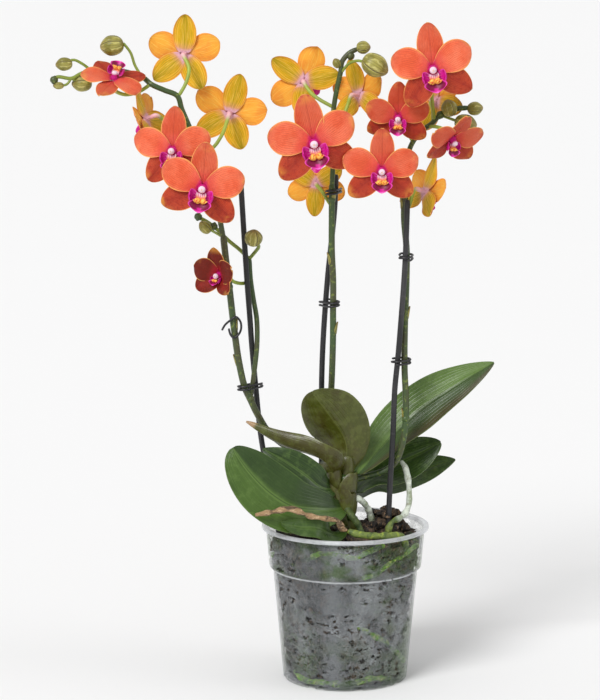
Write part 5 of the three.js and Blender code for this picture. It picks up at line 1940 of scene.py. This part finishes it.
def add_middle_lobe(shape):
    """The boat that hangs below the callus."""
    path = arc(Vector((0, -9.5, 6.4)), Vector((0, -14.5, 8.4)), Vector((0, -18, 10.8)))
    half = lambda t: 10 * math.sin(math.pi * (0.1 + 0.88 * t)) ** 0.7
    facing, cup = lambda t: Vector((0, 0.4, 1)), lambda t: mix(1.0, 0.9, t)
    add_blade(shape, path, facing, half, cup, 0.9, 22, 20, middle=1.0)


def full_lip():
    """The lip of a full bloom, in its frame."""
    shape = Shape("side", "throat", "callus", "middle")
    add_side_lobes(shape)
    add_throat(shape)
    add_callus(shape)
    add_middle_lobe(shape)
    return shape


def build_blooms():
    skin = finish(petal_finish)
    for k, bloom in enumerate(BLOOMS):
        name = f"bloom_{k + 1:02d}"
        head = bloom_head(PLAIN_BLOOM | bloom, 100 + k)
        added(f"{name}_head", head.mesh(name), skin, "petal", name)


def build_lips():
    skin = finish(lip_finish)
    for k, bloom in enumerate(BLOOMS):
        bloom = PLAIN_BLOOM | bloom
        size, closed = bloom["size"], bloom["closed"]
        fitted = (
            bloom_frame(bloom)
            @ Matrix.Translation(LIP_ROOT * size)
            @ Matrix.Rotation(-0.7 * closed * DEGREE, 4, "X")
            @ Matrix.Scale(size * (1 - closed / 110), 4)
            @ Matrix.Translation(-LIP_ROOT)
        )
        name = f"lip_{k + 1:02d}"
        added(f"{name}_lobes", full_lip().moved(fitted).mesh(name), skin, "lip", name)


# Stage


def light(name, place, strength, softness):
    """A far soft lamp that shines from a place towards the plant's middle."""
    lamp = bpy.data.lights.new(name, "SUN")
    lamp.energy = strength
    lamp.angle = softness * DEGREE
    holder = linked(name, lamp)
    holder.location = place
    holder.rotation_euler = (-Vector(place)).to_track_quat("-Z", "Y").to_euler()


def build_stage():
    scene = bpy.context.scene
    ground = bpy.data.meshes.new("pale floor")
    corners, faces = [], []
    for reach in FLOOR_RINGS:
        for k in range(FLOOR_SIDES):
            angle = 2 * math.pi * k / FLOOR_SIDES
            corners.append((reach * math.cos(angle), reach * math.sin(angle), 0))
    for row in range(len(FLOOR_RINGS) - 1):
        for k in range(FLOOR_SIDES):
            a, b = row * FLOOR_SIDES + k, row * FLOOR_SIDES + (k + 1) % FLOOR_SIDES
            outer = (a + FLOOR_SIDES, b + FLOOR_SIDES)
            faces.append((a, *outer, b) if row else (a, *outer))
    ground.from_pydata(corners, [], faces)
    ground.materials.append(floor_finish())
    floor = linked("floor", ground)
    floor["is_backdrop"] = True
    sky = bpy.data.worlds.new("studio")
    sky.use_nodes = True
    glow = sky.node_tree.nodes["Background"].inputs
    glow["Color"].default_value = (1, 1, 1, 1)
    glow["Strength"].default_value = SKY_STRENGTH
    scene.world = sky
    for name, lamp in LAMPS.items():
        light(name, *lamp)
    lens = bpy.data.cameras.new("photo view")
    lens.sensor_fit = "VERTICAL"
    lens.sensor_height = 36
    lens.lens = LENS
    camera = linked("photo view", lens)
    camera.location = CAMERA_PLACE
    camera.rotation_euler = ((90 - CAMERA_DROP) * DEGREE, 0, 0)
    scene.camera = camera
    scene.view_settings.view_transform = "Standard"


# Operators


class AddPot(bpy.types.Operator):
    """Turns the clear nursery pot and cuts its drain slots"""

    bl_idname = "orchid.pot"
    bl_label = "Pot"

    def execute(self, context):
        build_pot()
        return {"FINISHED"}


class AddBark(bpy.types.Operator):
    """Scatters the bark in the pot, with the roots against its wall"""

    bl_idname = "orchid.bark"
    bl_label = "Bark mix"

    def execute(self, context):
        build_bark()
        return {"FINISHED"}


class AddCrown(bpy.types.Operator):
    """Builds the short stem that everything grows from"""

    bl_idname = "orchid.crown"
    bl_label = "Crown"

    def execute(self, context):
        build_crown()
        return {"FINISHED"}


class AddLeaves(bpy.types.Operator):
    """Builds the eight leaves"""

    bl_idname = "orchid.leaves"
    bl_label = "Leaves"

    def execute(self, context):
        build_leaves()
        return {"FINISHED"}


class AddSpikes(bpy.types.Operator):
    """Grows the stems, stalks, joints, bracts and buds"""

    bl_idname = "orchid.spikes"
    bl_label = "Flower spikes"

    def execute(self, context):
        build_spikes()
        return {"FINISHED"}


class AddStakes(bpy.types.Operator):
    """Builds the canes beside the spikes"""

    bl_idname = "orchid.stakes"
    bl_label = "Stakes"

    def execute(self, context):
        build_stakes()
        return {"FINISHED"}


class AddClips(bpy.types.Operator):
    """Winds the wire clips"""

    bl_idname = "orchid.clips"
    bl_label = "Clips"

    def execute(self, context):
        build_clips()
        return {"FINISHED"}


class AddRoots(bpy.types.Operator):
    """Grows the three free roots"""

    bl_idname = "orchid.roots"
    bl_label = "Free roots"

    def execute(self, context):
        build_roots()
        return {"FINISHED"}


class AddBlooms(bpy.types.Operator):
    """Builds the sepals, petals and column of every bloom"""

    bl_idname = "orchid.blooms"
    bl_label = "Blooms"

    def execute(self, context):
        build_blooms()
        return {"FINISHED"}


class AddLips(bpy.types.Operator):
    """Builds the lip of every bloom"""

    bl_idname = "orchid.lips"
    bl_label = "Lips"

    def execute(self, context):
        build_lips()
        return {"FINISHED"}


class AddStage(bpy.types.Operator):
    """Sets the floor, the light and the camera"""

    bl_idname = "orchid.stage"
    bl_label = "Stage"

    def execute(self, context):
        build_stage()
        return {"FINISHED"}


STEPS = [
    AddPot, AddBark, AddCrown, AddLeaves, AddSpikes, AddStakes,
    AddClips, AddRoots, AddBlooms, AddLips, AddStage,
]


class OrchidPanel(bpy.types.Panel):
    """Lists the steps in their order"""

    bl_idname = "VIEW3D_PT_orchid"
    bl_label = "Potted Orchid"
    bl_space_type = "VIEW_3D"
    bl_region_type = "UI"
    bl_category = "Orchid"

    def draw(self, context):
        for step in STEPS:
            self.layout.operator(step.bl_idname)
        for group in (context.scene.orchid_sizes, context.scene.orchid_colours):
            box = self.layout.box()
            for key in group.bl_rna.properties.keys():
                if key not in ("rna_type", "name"):
                    box.prop(group, key)


CLASSES = [OrchidSizes, OrchidColours, *STEPS, OrchidPanel]


def register():
    for made in CLASSES:
        bpy.utils.register_class(made)
    bpy.types.Scene.orchid_sizes = bpy.props.PointerProperty(type=OrchidSizes)
    bpy.types.Scene.orchid_colours = bpy.props.PointerProperty(type=OrchidColours)


def unregister():
    del bpy.types.Scene.orchid_colours
    del bpy.types.Scene.orchid_sizes
    for made in reversed(CLASSES):
        bpy.utils.unregister_class(made)


def main():
    register()
    TREES["rod"] = rod_tree()
    TREES["chunks"] = chunk_tree()
    for step in STEPS:
        kind = step.bl_idname.split(".")[1]
        getattr(bpy.ops.orchid, kind)()
    boxes = {"cad": CAD_BOX, "visual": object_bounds()}
    sizes = {kind: [list(corner) for corner in box] for kind, box in boxes.items()}


if __name__ == "__main__":
    main()
